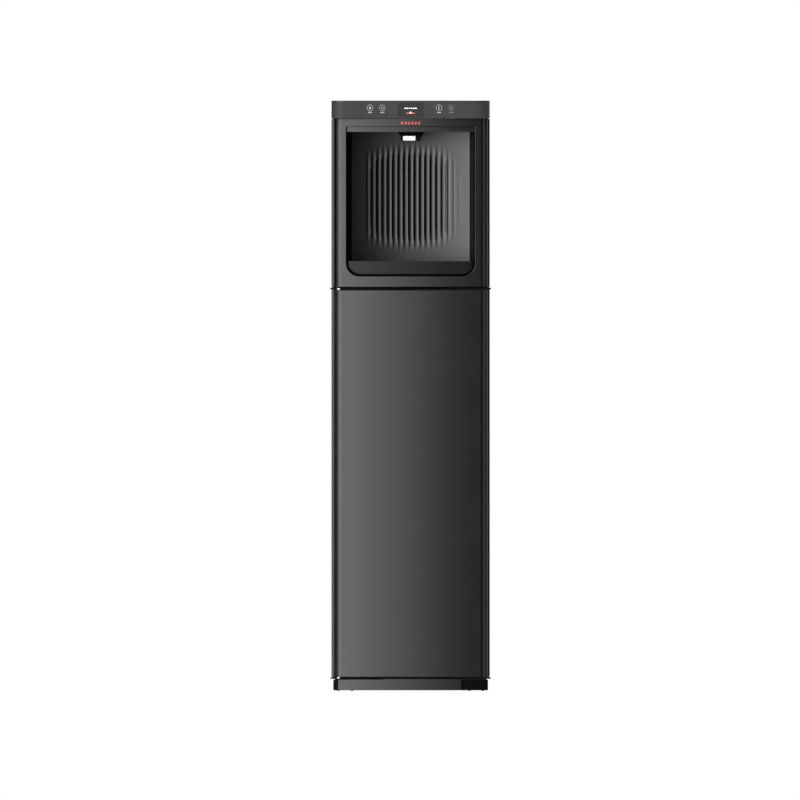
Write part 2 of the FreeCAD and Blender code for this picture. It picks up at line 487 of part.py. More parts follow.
hub = hub.fuse(cyl(13.6, NY - 8, 1024.9, 3.2, 4))
put("nozzle_housing", hub.removeSplitter())
sp = box(-14.0, 8.7, NY - 16.4, NY + 12.0, 1025.8, 1033.9)
sp = sp.makeFillet(1.2, [e for e in sp.Edges if e.BoundBox.ZMax < 1025.9 or e.BoundBox.ZLength > 9])
sp = sp.fuse(cyl(SPX, SPY, 1033.0, 6.0, 26.0)).cut(cyl(SPX, SPY, 1020, 3.2, 50))
put("outlet_spout", sp.removeSplitter())

# ---- drip tray and grille -------------------------------------------------------------------------
TRAY_IN = 3.5           # how far the tray's front stands back from the fascia
TRAY_TOP_IN = 2.4       # the same at its upper rim
TRAY_LEAN = 17.0        # degrees the tray's front leans inward towards its lower edge
TRAY_SOFT = 5.0         # radius of the tray's lower front edge


def tray_block(inset, front, z0, z1, side_off, back_off):
    hx = 118.3 - inset
    r = CUT_R - 0.8 - inset
    prof = prism([(-hx, z0, r), (hx, z0, r), (hx, z1), (-hx, z1)], "y", -190.0, -30.0)
    return prof.common(niche_solid(side_off, back_off, -200.0, z0 - 5, z1 + 5)).common(crown(front))



tray = tray_block(0.0, 0.5, TRAY_Z0, TRAY_Z1, -0.7, -0.7)
lean = math.tan(math.radians(TRAY_LEAN))


def front_r(z):
    """Radius of the tray's leaning front about the crown axis."""
    return CROWN_R - TRAY_TOP_IN - (TRAY_Z1 - z) * lean


tray = tray.common(Part.makeCone(front_r(TRAY_Z0 - 5), front_r(TRAY_Z1 + 5), TRAY_Z1 - TRAY_Z0 + 10, V(0, CROWN_CY, TRAY_Z0 - 5), V(0, 0, 1)))
tray_edges = [e for e in tray.Edges if all(abs(math.hypot(v.X, v.Y - CROWN_CY) - front_r(v.Z)) < 0.05 for v in e.Vertexes) and e.BoundBox.ZMin < TRAY_Z1 - 0.1]
tray = tray.makeFillet(TRAY_SOFT, tray_edges)
tray_in = tray_block(2.2, TRAY_IN + 13.0, TRAY_Z0 + 2.2, TRAY_Z1 + 2, -2.9, -2.9)
tray = tray.cut(tray_in)
LEDGE_Z = TRAY_Z1 - 3.2
ledge = tray_block(1.1, TRAY_IN + 5.6, TRAY_Z0 + 1.1, TRAY_Z1 + 2, -1.8, -1.8).common(box(-200, 200, -200, 0, LEDGE_Z, 900))
tray = tray.cut(ledge)
put("drip_tray", tray)
gr = tray_block(1.45, TRAY_IN + 5.95, TRAY_Z0 + 1.1, TRAY_Z1 + 2, -2.15, -2.15).common(box(-200, 200, -200, 0, LEDGE_Z + 0.3, TRAY_Z1 - 0.2))
cuts = []
for i in range(13):
    y = -150.0 + 7.5 * i
    hx = side_x(y) - 16.0
    front_gap = math.sqrt(max((CROWN_R - TRAY_IN - 12.0) ** 2 - (y - 1.6 - CROWN_CY) ** 2, 0.0))
    hx = min(hx, front_gap)
    if y > -72:
        d = (NICHE_R - 12.0) ** 2 - (y - NICHE_CY) ** 2
        hx = min(hx, math.sqrt(d)) if d > 400 else 0
    if hx < 20:
        continue
    for s in (-1, 1):
        x0, x1 = sorted((s * 4.0, s * hx))
        cuts.append(prism([(x0, y - 1.6, 1.55), (x1, y - 1.6, 1.55), (x1, y + 1.6, 1.55), (x0, y + 1.6, 1.55)], "z", 780, 820))
gr = gr.cut(Part.makeCompound(cuts))
put("drip_grille", gr)

# ---- lower door --------------------------------------------------------------------------------------
skin = bowed(HALF_DOOR, Y_SHELL_BACK, Z_DOOR_0, Z_DOOR_1, CORNER_R)
skin = skin.cut(bowed(HALF_DOOR - DOOR_T, Y_SHELL_BACK + 5, Z_DOOR_0 - 1, Z_DOOR_1 + 1, CORNER_R - DOOR_T, DOOR_T))
put("door_outer_panel", skin)
DI = HALF_DOOR - DOOR_T
Y_INNER0 = -143.5


def door_cap(z0, z1, pocket_z0, pocket_z1):
    c = bowed(DI, Y_INNER0, z0, z1, CORNER_R - DOOR_T, DOOR_T)
    c = c.cut(prism([(-126, -175), (134, -175), (134, -146, 3), (-126, -146, 3)], "z", pocket_z0, pocket_z1).common(crown(DOOR_T + 2.5)))
    return c.cut(cyl(PIN_X, PIN_Y, z0 - 1, BUSH_OR, z1 - z0 + 2))


put("door_end_caps", [door_cap(732.0, Z_DOOR_1, 731.0, Z_DOOR_1 - 2.5), door_cap(Z_DOOR_0, 40.6, Z_DOOR_0 + 2.5, 41.6)])
bush_t = cyl(PIN_X, PIN_Y, 732.0, BUSH_OR, Z_DOOR_1 - 732.0 - 0.2).cut(cyl(PIN_X, PIN_Y, 733.4, BUSH_R, 20))
bush_b = cyl(PIN_X, PIN_Y, Z_DOOR_0 + 0.2, BUSH_OR, 40.6 - Z_DOOR_0 - 0.2).cut(cyl(PIN_X, PIN_Y, 20, BUSH_R, 19.2))
put("door_hinge_bushes", [bush_t, bush_b])
inner_p = box(-DI, DI, Y_INNER0, Y_SHELL_BACK - 0.1, Z_DOOR_0 + 0.2, Z_DOOR_1 - 0.2)
mags = []
for z in (160.0, 610.0):
    inner_p = inner_p.cut(box(125.9, 133.1, -150, -140, z - 20.1, z + 20.1))
    mags.append(box(126.0, 133.0, -147.5, Y_SHELL_BACK - 0.1, z - 20, z + 20))
put("door_inner_panel", inner_p)
put("door_magnets", mags)

# ---- front frame behind the door ----------------------------------------------------------------------
fr = box(-141.0, 141.0, -139.5, -137.5, Z_BASE_1, Z_MID_0)
fr = fr.cut(prism([(-118, 50, 8), (118, 50, 8), (118, 722, 8), (-118, 722, 8)], "y", -150, -130))
put("front_frame", fr)

# ---- lower cabinet internals ------------------------------------------------------------------------
shelf = box(-146.2, 146.2, -128, 155, 318.0, 320.0)
for s in (-1, 1):
    x0, x1 = sorted((s * 144.6, s * 146.2))
    shelf = shelf.fuse(box(x0, x1, -128, 155, 320, 334))
shelf = shelf.fuse(box(-146.2, 146.2, -128, -126.4, 306, 318))
shelf = shelf.cut(prism([(-95, 128, 6), (-5, 128, 6), (-5, 150, 6), (-95, 150, 6)], "z", 300, 340))
fbr = box(-146.2, 146.2, -27.0, -25.0, 610, 741.5).fuse(box(-146.2, 146.2, -112, -27, 738.0, 740.0)).removeSplitter()
fbr = fbr.cut(prism([(20, -70, 6), (60, -70, 6), (60, -40, 6), (20, -40, 6)], "z", 730, 745))
# manifold: one head block over three cartridges
man = prism([(-118, -106, 10), (118, -106, 10), (118, -30, 10), (-118, -30, 10)], "z", 702.0, 738.0)
carts = []
for i in (-1, 0, 1):
    x = i * CART_X
    man = man.cut(cyl(x, CART_Y, 700, SOCKET_R, 15.0))
    c = cyl(x, CART_Y, CART_Z0, CART_R, 686.0 - CART_Z0)
    c = soft(c, 9.0, lambda e: e.CenterOfMass.z < CART_Z0 + 0.1 and e.Curve.TypeId == "Part::GeomCircle")
    c = soft(c, 6.0, lambda e: e.CenterOfMass.z > 685.9 and e.Curve.TypeId == "Part::GeomCircle")
    c = c.fuse(cyl(x, CART_Y, 685.0, 25.0, 16.4)).fuse(cyl(x, CART_Y, 700.0, NECK_R, 14.5))
    c = c.fuse(prism([(x - 20, CART_Y - 3.5, 3), (x + 20, CART_Y - 3.5, 3), (x + 20, CART_Y + 3.5, 3), (x - 20, CART_Y + 3.5, 3)], "z", CART_Z0 - 11.0, CART_Z0 + 2))
    carts.append(c.removeSplitter())
put("filter_manifold", man.removeSplitter())
for name, c in zip(("sediment_cartridge", "carbon_cartridge", "membrane_cartridge"), carts):
    put(name, c)

# storage tank
TX, TY, TR, TZ0, TZ1 = 0.0, 22.0, 104.0, 34.0, 266.0
VALVE_Z = TZ1 + 13.0


def tank_solid(x, y, r, z0, z1, f):
    s = cyl(x, y, z0, r, z1 - z0)
    return s.makeFillet(f, [e for e in s.Edges if e.Curve.TypeId == "Part::GeomCircle"])


tank = tank_solid(TX, TY, TR, TZ0, TZ1, 38.0).fuse(cyl(TX, TY, TZ1 - 2, 9.0, 9.0)).removeSplitter()
tank = tank.cut(tank_solid(TX, TY, TR - 1.5, TZ0 + 1.5, TZ1 - 1.5, 36.5))
put("storage_tank", tank)
RUBBER = [cyl(TX + 48 * math.cos(math.radians(a)), TY + 48 * math.sin(math.radians(a)), Z_BASE_1, 13, TZ0 - Z_BASE_1) for a in (90, 210, 330)]
valve = cyl(TX, TY, TZ1 + 7, 9.0, 14).fuse(cyl(TX, TY, VALVE_Z, 5.2, 15, "x")).removeSplitter()
valve = valve.cut(cyl(TX, TY - 20, VALVE_Z, 2.45, 20, "y"))
put("tank_valve", valve)
lever = cyl(TX, TY - 12.5, VALVE_Z, 2.4, 12.2, "y")
lever = lever.fuse(prism([(TX - 4, VALVE_Z - 4, 2), (TX + 34, VALVE_Z - 3, 2), (TX + 34, VALVE_Z + 3, 2), (TX - 4, VALVE_Z + 4, 2)], "y", TY - 15.0, TY - 12.0)).removeSplitter()
put("tank_valve_lever", lever)

# booster pump on the shelf
pz = 362.0
motor = cyl(28, 104, pz, 29.0, 66, "x").fuse(cyl(20, 104, pz, 10.0, 8, "x"))
head = prism([(104 - 31, pz - 31, 8), (104 + 31, pz - 31, 8), (104 + 31, pz + 31, 8), (104 - 31, pz + 31, 8)], "x", 94.0, 122.0)
head = head.fuse(cyl(108, 60, pz + 14, 6.0, 14, "y")).fuse(cyl(108, 60, pz - 14, 6.0, 14, "y")).removeSplitter()
put("pump_head", head)
motor = motor.fuse(box(32, 118, 72, 136, 328.5, 330.5))
for x0, x1 in ((36, 39), (82, 85)):
    motor = motor.fuse(box(x0, x1, 76, 132, 330.5, pz - 8))
put("pump_motor", motor.removeSplitter())
RUBBER += [cyl(x, y, 320.0, 6.0, 8.5) for x in (42, 108) for y in (80, 128)]
put("rubber_mounts", RUBBER)
# inlet solenoid valve and mains power supply
sv = box(-92, -62, 60, 84, 320, 342).fuse(cyl(-77, 72, 342, 10.5, 26)).fuse(cyl(-100, 72, 331, 5.0, 46, "x")).removeSplitter()
put("inlet_solenoid_valve", sv)
psu = prism([(-132, -96, 3), (-40, -96, 3), (-40, -46, 3), (-132, -46, 3)], "z", 320.0, 358.0)
put("power_supply", psu.makeFillet(1.0, [e for e in psu.Edges if e.BoundBox.ZMin > 357.9]))
put("shelf_plate", shelf.removeSplitter())
put("filter_bracket", fbr.cut(cyl(-60, -40, 718, 4.5, 30, "y")))

# ---- upper internals ---------------------------------------------------------------------------------
HX, HY = -62.0, 62.0
hot = tank_solid(HX, HY, 50.0, 800.0, 972.0, 14.0)
hot = hot.cut(tank_solid(HX, HY, 49.0, 801.0, 971.0, 13.0))
hot = hot.fuse(cyl(HX, HY, 971.5, 6.0, 20.0)).removeSplitter()
put("hot_tank", hot)
ins = cyl(HX, HY, Z_MID_1, 66.0, 986.0 - Z_MID_1).cut(tank_solid(HX, HY, 50.3, 799.7, 972.3, 14.0)).cut(cyl(HX, HY, 960, 6.4, 40))
put("hot_tank_insulation", ins)
dp = cyl(72, 40, 795, 22.0, 60).fuse(cyl(72, 40, 771, 27.0, 24)).fuse(cyl(72, 12, 783, 5.0, 20, "y").fuse(cyl(72, 52, 783, 5.0, 24, "y"))).removeSplitter()
dp = dp.fuse(box(46, 98, 14, 66, Z_MID_1, 754.6)).fuse(cyl(72, 40, 754.6, 20, 17)).removeSplitter()
put("delivery_pump", dp)
MBY = 148.0
mb = box(30, 130, MBY, MBY + 1.6, 800, 915)
for x0, x1, z0, z1, d in ((38, 66, 806, 834, 16), (74, 96, 806, 828, 12), (104, 124, 810, 824, 9), (40, 60, 850, 870, 4), (72, 122, 848, 880, 3), (38, 62, 886, 906, 11)):
    mb = mb.fuse(box(x0, x1, MBY - d, MBY, z0, z1))
for x in (35, 125):
    for z in (804, 911):
        mb = mb.fuse(cyl(x, MBY + 1.6, z, 2.5, 167.3 - MBY - 1.6, "y"))
put("main_control_board", mb.removeSplitter())

# ---- water tubes --------------------------------------------------------------------------------------
put("supply_tube", tube([(30, REC_Y - 8, ZF), (30, 127.6, ZF), (30, 129, ZF + 40), (-60, 140, 290), (-60, 140, 430), (-60, 10, 600), (-60, 10, 718), (-60, -30, 718)], 3.15, 5.0))
put("nozzle_tube", tube([(HX, HY, 991.5), (HX, HY, 1068), (SPX, SPY, 1074), (SPX, SPY, 1059)], 3.15, 7.0))

# ---- export -----------------------------------------------------------------------------------------------
os.makedirs("parts", exist_ok=True)
for name, shape in PARTS.items():
    if not shape.isValid() or shape.Volume <= 0:
        print("CHECK", name, "valid", shape.isValid(), "volume", round(shape.Volume, 2))
    shape.exportStep("parts/%s.step" % name)
print(len(PARTS), "nodes")
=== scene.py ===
import json
import math
import random

import bmesh
import bpy
from mathutils import Matrix, Vector


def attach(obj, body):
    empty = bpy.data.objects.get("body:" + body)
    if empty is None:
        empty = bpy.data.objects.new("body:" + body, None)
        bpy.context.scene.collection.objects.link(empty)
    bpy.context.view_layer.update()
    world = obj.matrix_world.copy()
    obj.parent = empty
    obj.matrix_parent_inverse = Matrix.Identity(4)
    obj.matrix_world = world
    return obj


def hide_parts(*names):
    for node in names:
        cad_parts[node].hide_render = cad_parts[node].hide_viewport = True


random.seed(7)
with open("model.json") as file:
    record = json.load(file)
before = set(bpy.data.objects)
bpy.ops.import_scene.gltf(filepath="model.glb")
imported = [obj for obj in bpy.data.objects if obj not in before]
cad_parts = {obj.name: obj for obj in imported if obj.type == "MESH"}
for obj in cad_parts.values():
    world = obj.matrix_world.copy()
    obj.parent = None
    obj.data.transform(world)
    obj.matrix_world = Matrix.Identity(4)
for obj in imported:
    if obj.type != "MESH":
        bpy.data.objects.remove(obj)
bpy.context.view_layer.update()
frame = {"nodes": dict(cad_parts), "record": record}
nodes = frame["nodes"]
record = frame["record"]
node_slot = {r["node"]: r.get("material_slot") for r in record["subparts"]}
scene = bpy.context.scene
MM = 0.001

# ---------------------------------------------------------------- camera, straight at the front
cam_data = bpy.data.cameras.new("camera")
cam_data.type = "ORTHO"
cam_data.ortho_scale = 1.4908
cam_data.clip_start, cam_data.clip_end = 0.05, 100.0
cam = bpy.data.objects.new("camera", cam_data)
cam.location = (-0.0198, -5.0, 0.5421)
cam.rotation_euler = (math.radians(90), 0, 0)
scene.collection.objects.link(cam)
scene.camera = cam
scene.view_settings.view_transform = "Standard"
scene.view_settings.look = "None"
scene.view_settings.exposure = 0.0
scene.view_settings.gamma = 1.0


# ---------------------------------------------------------------- studio: white room, pale floor, soft lights
def node_tree(owner):
    owner.use_nodes = True
    t = owner.node_tree
    t.nodes.clear()
    return t


world = bpy.data.worlds.new("studio")
scene.world = world
t = node_tree(world)
out = t.nodes.new("ShaderNodeOutputWorld")
mix = t.nodes.new("ShaderNodeMixShader")
path = t.nodes.new("ShaderNodeLightPath")
white = t.nodes.new("ShaderNodeBackground")
white.inputs["Color"].default_value = (1, 1, 1, 1)
white.inputs["Strength"].default_value = 1.0
dim = t.nodes.new("ShaderNodeBackground")
dim.inputs["Color"].default_value = (1, 1, 1, 1)
dim.inputs["Strength"].default_value = 0.03
t.links.new(path.outputs["Is Camera Ray"], mix.inputs["Fac"])
t.links.new(dim.outputs[0], mix.inputs[1])
t.links.new(white.outputs[0], mix.inputs[2])
t.links.new(mix.outputs[0], out.inputs["Surface"])


def softbox(name, azimuth, elevation, half_az, half_el, radiance, glossy=True, diffuse=True, distance=12.0):
    """Large soft panel seen from the object between azimuth-half_az and azimuth+half_az. Azimuth 0 is in front, positive towards the left."""
    w = 2 * distance * math.tan(math.radians(half_az))
    h = 2 * distance * math.tan(math.radians(half_el))
    data = bpy.data.lights.new(name, "AREA")
    data.shape = "RECTANGLE"
    data.size, data.size_y = w, h
    data.energy = radiance * math.pi * w * h
    data.color = (1, 1, 1)
    o = bpy.data.objects.new(name, data)
    a, e = math.radians(azimuth), math.radians(elevation)
    d = Vector((-math.sin(a) * math.cos(e), -math.cos(a) * math.cos(e), math.sin(e)))
    o.location = Vector((0, 0, 0.55)) + d * distance
    o.rotation_euler = (-d).to_track_quat("-Z", "Y").to_euler()
    o.visible_camera = False
    o.visible_glossy = glossy
    o.visible_diffuse = diffuse
    scene.collection.objects.link(o)
    return o


# the door's gradient comes from where these panels end: bright to the left front, dimmer straight ahead, dark to the right
softbox("key_left_front", 43.0, 5.0, 25.0, 40.0, 5.0, diffuse=False)
softbox("front_diffuse", 10.0, 14.0, 34.0, 34.0, 2.6, glossy=False)
softbox("key_front_edge", 7.0, 5.0, 11.0, 40.0, 2.05)
softbox("side_left", 92.0, 5.0, 18.0, 40.0, 0.55)
softbox("side_right", -93.0, -3.0, 14.0, 34.0, 0.42, diffuse=False)
# low and high fills that only show in the other views: the white studio seen in the sides and the top
softbox("fill_right_back", -132.0, -12.0, 32.0, 30.0, 0.7)
softbox("fill_left_back", 146.0, 30.0, 22.0, 18.0, 0.45)
softbox("fill_back_high", 180.0, 34.0, 26.0, 18.0, 0.8)
softbox("fill_back_diffuse", -165.0, 25.0, 40.0, 30.0, 3.0, glossy=False)
softbox("top_diffuse", 0.0, 88.0, 40.0, 40.0, 1.6, glossy=False)


def new_mesh(name, verts, faces, smooth=False):
    me = bpy.data.meshes.new(name)
    me.from_pydata([tuple(v) for v in verts], [], faces)
    me.update()
    if smooth:
        me.polygons.foreach_set("use_smooth", [True] * len(me.polygons))
    o = bpy.data.objects.new(name, me)
    scene.collection.objects.link(o)
    return o


floor = new_mesh("studio_floor", [(-8, -8, 0), (8, -8, 0), (8, 8, 0), (-8, 8, 0)], [(0, 1, 2, 3)])
floor.visible_glossy = False
floor.visible_diffuse = False
floor.visible_shadow = False


# ---------------------------------------------------------------- materials
def material(name, base, rough, metallic=0.0, spec=0.5, vary=0.12, vary_scale=35.0, rough_vary=0.05, rough_scale=120.0,
             grain=900.0, bump=0.05, bump_mm=0.05, stretch=None, coat=0.0, coat_rough=0.1, emission=None, emit=0.0,
             transmission=0.0, ior=1.5, kind="noise", second=None, subsurface=0.0):
    """Procedural surface: colour and roughness drift, with a fine grain in the bump. Scales are per metre."""
    m = bpy.data.materials.new(name)
    t = node_tree(m)
    n, l = t.nodes, t.links
    out = n.new("ShaderNodeOutputMaterial")
    p = n.new("ShaderNodeBsdfPrincipled")
    l.new(p.outputs[0], out.inputs["Surface"])
    p.inputs["Metallic"].default_value = metallic
    p.inputs["Specular IOR Level"].default_value = spec
    p.inputs["IOR"].default_value = ior
    p.inputs["Coat Weight"].default_value = coat
    p.inputs["Coat Roughness"].default_value = coat_rough
    p.inputs["Transmission Weight"].default_value = transmission
    if subsurface:
        p.inputs["Subsurface Weight"].default_value = subsurface
        p.inputs["Subsurface Radius"].default_value = (0.002, 0.002, 0.002)
    if emission:
        p.inputs["Emission Color"].default_value = (*emission, 1)
        p.inputs["Emission Strength"].default_value = emit
    tc = n.new("ShaderNodeTexCoord")
    src = tc.outputs["Object"]
    if stretch:
        mp = n.new("ShaderNodeMapping")
        mp.inputs["Scale"].default_value = stretch
        l.new(src, mp.inputs["Vector"])
        grain_src = mp.outputs["Vector"]
    else:
        grain_src = src
    # colour drift
    n1 = n.new("ShaderNodeTexNoise")
    n1.inputs["Scale"].default_value = vary_scale
    n1.inputs["Detail"].default_value = 4.0
    l.new(src, n1.inputs["Vector"])
    ramp = n.new("ShaderNodeValToRGB")
    lo = [max(0.0, c * (1 - vary)) for c in base]
    hi = [min(1.0, c * (1 + vary)) for c in base] if second is None else list(second)
    ramp.color_ramp.elements[0].position, ramp.color_ramp.elements[1].position = 0.3, 0.7
    ramp.color_ramp.elements[0].color = (*lo, 1)
    ramp.color_ramp.elements[1].color = (*hi, 1)
    l.new(n1.outputs["Fac"], ramp.inputs["Fac"])
    l.new(ramp.outputs["Color"], p.inputs["Base Color"])
    # roughness drift
    n2 = n.new("ShaderNodeTexNoise")
    n2.inputs["Scale"].default_value = rough_scale
    n2.inputs["Detail"].default_value = 3.0
    l.new(grain_src if stretch else src, n2.inputs["Vector"])
    mr = n.new("ShaderNodeMapRange")
    mr.inputs["From Min"].default_value, mr.inputs["From Max"].default_value = 0.3, 0.7
    mr.inputs["To Min"].default_value, mr.inputs["To Max"].default_value = max(0.02, rough - rough_vary), min(1.0, rough + rough_vary)
    l.new(n2.outputs["Fac"], mr.inputs["Value"])
    l.new(mr.outputs["Result"], p.inputs["Roughness"])
    # grain
    if kind == "voronoi":
        g = n.new("ShaderNodeTexVoronoi")
        g.inputs["Scale"].default_value = grain
        height = g.outputs["Distance"]
    else:
        g = n.new("ShaderNodeTexNoise")
        g.inputs["Scale"].default_value = grain
        g.inputs["Detail"].default_value = 2.0
        height = g.outputs["Fac"]
    l.new(grain_src, g.inputs["Vector"])
    b = n.new("ShaderNodeBump")
    b.inputs["Strength"].default_value = bump
    b.inputs["Distance"].default_value = bump_mm * MM
    l.new(height, b.inputs["Height"])
    l.new(b.outputs["Normal"], p.inputs["Normal"])
    return m


SATIN = dict(spec=0.5, vary=0.1, vary_scale=14.0, rough_vary=0.012, rough_scale=40.0, grain=700.0, bump=0.12, bump_mm=0.012)
ROUGH = 0.37
M = {
    "black_paint": material("satin_black_paint", (0.0045, 0.0045, 0.0047), ROUGH, **SATIN),
    "black_plate": material("black_plate_paint", (0.003, 0.003, 0.003), 0.5, **{**SATIN, "spec": 0.08}),
    "front_frame_paint": material("frame_paint", (0.012, 0.012, 0.012), 0.5, grain=1500, bump=0.1, bump_mm=0.02),
    "fascia_plastic": material("satin_black_fascia", (0.0045, 0.0045, 0.0047), ROUGH, **SATIN),
    "plinth_plastic": material("plinth_black", (0.0045, 0.0045, 0.0047), ROUGH, **SATIN),
    "control_panel_satin": material("control_panel_satin", (0.044, 0.0443, 0.0447), ROUGH, **{**SATIN, "spec": 0.06}),
    "display_gloss": material("display_gloss", (0.004, 0.004, 0.004), 0.34, spec=0.37, vary_scale=60, rough_vary=0.01, grain=1200, bump=0.03, bump_mm=0.01),
    "liner_black": material("niche_liner_black", (0.0012, 0.0012, 0.0012), 0.55, vary_scale=60, rough_vary=0.03, grain=1200, bump=0.1, bump_mm=0.02, spec=0.04),
    "back_panel_satin": material("back_panel_satin", (0.0015, 0.0015, 0.0016), 0.35, **{**SATIN, "spec": 0.64}),
    "tray_plastic": material("tray_plastic", (0.005, 0.005, 0.0052), 0.42, spec=0.33, vary_scale=50, rough_vary=0.03, grain=1600, bump=0.15, bump_mm=0.02),
    # the spout's emission (0.4) is a painted glow: it lifts the white spout to full white beyond what the lights give,
    # though the spout is no lamp
    "spout_white": material("spout_white", (0.86, 0.86, 0.86), 0.35, vary=0.02, grain=1400, bump=0.04, bump_mm=0.01, emission=(1, 1, 1), emit=0.4),
    "rear_paint": material("rear_powder_coat", (0.018, 0.018, 0.019), 0.55, vary=0.15, vary_scale=60, rough_vary=0.05, grain=1300, bump=0.35, bump_mm=0.05),
    "service_black": material("service_black", (0.012, 0.012, 0.012), 0.5, vary=0.15, grain=1500, bump=0.2, bump_mm=0.03),
    "screw_zinc": material("zinc_screws", (0.5, 0.5, 0.5), 0.3, metallic=1.0, grain=2500, bump=0.15, bump_mm=0.02),
    "pin_steel": material("dark_hinge_pin", (0.06, 0.06, 0.062), 0.4, metallic=1.0, vary=0.02, rough_vary=0.02, grain=2500, bump=0.03, bump_mm=0.005),
    "galvanised": material("galvanised_steel", (0.42, 0.43, 0.44), 0.38, metallic=1.0, vary=0.22, vary_scale=110, rough_vary=0.1, rough_scale=90, grain=260, kind="voronoi", bump=0.12, bump_mm=0.03),
    "door_liner": material("door_liner_plastic", (0.06, 0.06, 0.062), 0.5, grain=1800, bump=0.25, bump_mm=0.04),
    "nylon_white": material("white_nylon", (0.72, 0.72, 0.7), 0.4, vary=0.05, grain=1500, bump=0.1, bump_mm=0.02),
    "magnet_dark": material("magnet_rubber", (0.03, 0.03, 0.03), 0.5, grain=2000, bump=0.2, bump_mm=0.03),
    "cap_grey": material("grey_cap", (0.14, 0.14, 0.15), 0.5, grain=1800, bump=0.2, bump_mm=0.03),
    "lever_blue": material("blue_lever", (0.02, 0.1, 0.4), 0.35, grain=1500, bump=0.1, bump_mm=0.02),
    "tank_paint": material("tank_enamel", (0.72, 0.75, 0.77), 0.22, vary=0.03, rough_vary=0.04, grain=500, bump=0.12, bump_mm=0.05, coat=0.5),
    "filter_head": material("filter_head_grey", (0.42, 0.43, 0.45), 0.4, vary=0.05, grain=1600, bump=0.12, bump_mm=0.02),
    "cartridge_white": material("cartridge_white", (0.78, 0.79, 0.8), 0.3, vary=0.03, grain=1300, bump=0.08, bump_mm=0.02),
    "rubber_black": material("rubber_black", (0.015, 0.015, 0.015), 0.72, vary=0.2, grain=1800, bump=0.4, bump_mm=0.06),
    "pump_can": material("pump_can_steel", (0.5, 0.5, 0.51), 0.3, metallic=1.0, stretch=(40.0, 900.0, 900.0), grain=1.5, rough_scale=1.2, bump=0.15, bump_mm=0.02),
    "pump_plastic": material("pump_plastic", (0.03, 0.03, 0.033), 0.45, grain=1500, bump=0.2, bump_mm=0.03),
    "supply_case": material("supply_aluminium", (0.6, 0.6, 0.62), 0.35, metallic=1.0, stretch=(30.0, 900.0, 900.0), grain=1.2, rough_scale=1.0, bump=0.12, bump_mm=0.02),
    "stainless": material("brushed_stainless", (0.6, 0.6, 0.6), 0.28, metallic=1.0, stretch=(900.0, 900.0, 25.0), grain=1.2, rough_scale=1.0, bump=0.12, bump_mm=0.02),
    "foam": material("insulation_foam", (0.05, 0.05, 0.055), 0.9, vary=0.3, grain=420, kind="voronoi", bump=0.6, bump_mm=0.3),
    "board_green": material("solder_mask_green", (0.01, 0.1, 0.04), 0.3, vary=0.25, vary_scale=300, grain=900, bump=0.15, bump_mm=0.03, coat=0.3),
    "tube_white": material("water_tube", (0.7, 0.72, 0.74), 0.25, vary=0.03, grain=600, bump=0.05, bump_mm=0.02, transmission=0.35),
}
floor_mat = material("floor_paint", (0.86, 0.86, 0.855), 0.6, vary=0.015, vary_scale=1.5, rough_vary=0.03, rough_scale=8, grain=60, bump=0.03, bump_mm=0.2)
floor.data.materials.append(floor_mat)


def paint(o, mat):
    o.data.materials.clear()
    o.data.materials.append(mat)


for name, o in nodes.items():
    paint(o, M[node_slot[name]])

# ---------------------------------------------------------------- helpers for the detail pieces (arguments in millimetres)
CROWN_CY, CROWN_R = 530.0, 700.0


def bow_y(x, out=0.0):
    """Y of the bowed front at x, moved out towards the viewer."""
    return CROWN_CY - math.sqrt((CROWN_R + out) ** 2 - x * x)


def piece(name, verts, faces, mat, body="cabinet", slot=None, bevel=0.0, segs=2, sharp=40.0, weld=True):
    o = new_mesh(name, [(x * MM, y * MM, z * MM) for x, y, z in verts], faces)
    bm = bmesh.new()
    bm.from_mesh(o.data)
    if weld:
        bmesh.ops.remove_doubles(bm, verts=bm.verts, dist=2e-6)
    bmesh.ops.recalc_face_normals(bm, faces=bm.faces)
    if bevel:
        edges = [e for e in bm.edges if len(e.link_faces) == 2 and e.calc_face_angle(0.0) > math.radians(35)]
        bmesh.ops.bevel(bm, geom=edges, offset=bevel * MM, offset_type="OFFSET", segments=segs, profile=0.5, affect="EDGES", clamp_overlap=True)
    bm.to_mesh(o.data)
    bm.free()
    o.data.polygons.foreach_set("use_smooth", [True] * len(o.data.polygons))
    o.data.set_sharp_from_angle(angle=math.radians(sharp))
    paint(o, mat if not isinstance(mat, str) else M[mat])
    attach(o, body)
    return o


class Bag:
    """Collects several closed shells into one mesh."""

    def __init__(self):
        self.v, self.f = [], []

    def add(self, verts, faces):
        b = len(self.v)
        self.v += list(verts)
        self.f += [tuple(i + b for i in f) for f in faces]
        return self

    def piece(self, name, mat, **kw):
        return piece(name, self.v, self.f, mat, **kw)


def slab(outline, lo, hi, axis="y"):
    """Closed prism over a plane outline. Axis y: outline in (x, z); z: (x, y); x: (y, z)."""
    put3 = {"y": lambda u, v, w: (u, w, v), "z": lambda u, v, w: (u, v, w), "x": lambda u, v, w: (w, u, v)}[axis]
    n = len(outline)
    v = [put3(a, b, lo) for a, b in outline] + [put3(a, b, hi) for a, b in outline]
    f = [tuple(range(n - 1, -1, -1)), tuple(range(n, 2 * n))] + [(i, (i + 1) % n, n + (i + 1) % n, n + i) for i in range(n)]
    return v, f


def rrect(cx, cz, w, h, r, k=6):
    """Outline of a rounded rectangle."""
    r = min(r, w / 2 - 1e-4, h / 2 - 1e-4)
    pts = []
    for sx, sz, a0 in ((1, 1, 0), (-1, 1, 90), (-1, -1, 180), (1, -1, 270)):
        for i in range(k + 1):
            a = math.radians(a0 + 90.0 * i / k)
            pts.append((cx + sx * (w / 2 - r) + r * math.cos(a), cz + sz * (h / 2 - r) + r * math.sin(a)))
    return pts


def circle(cx, cz, r, n=40):
    return [(cx + r * math.cos(2 * math.pi * i / n), cz + r * math.sin(2 * math.pi * i / n)) for i in range(n)]


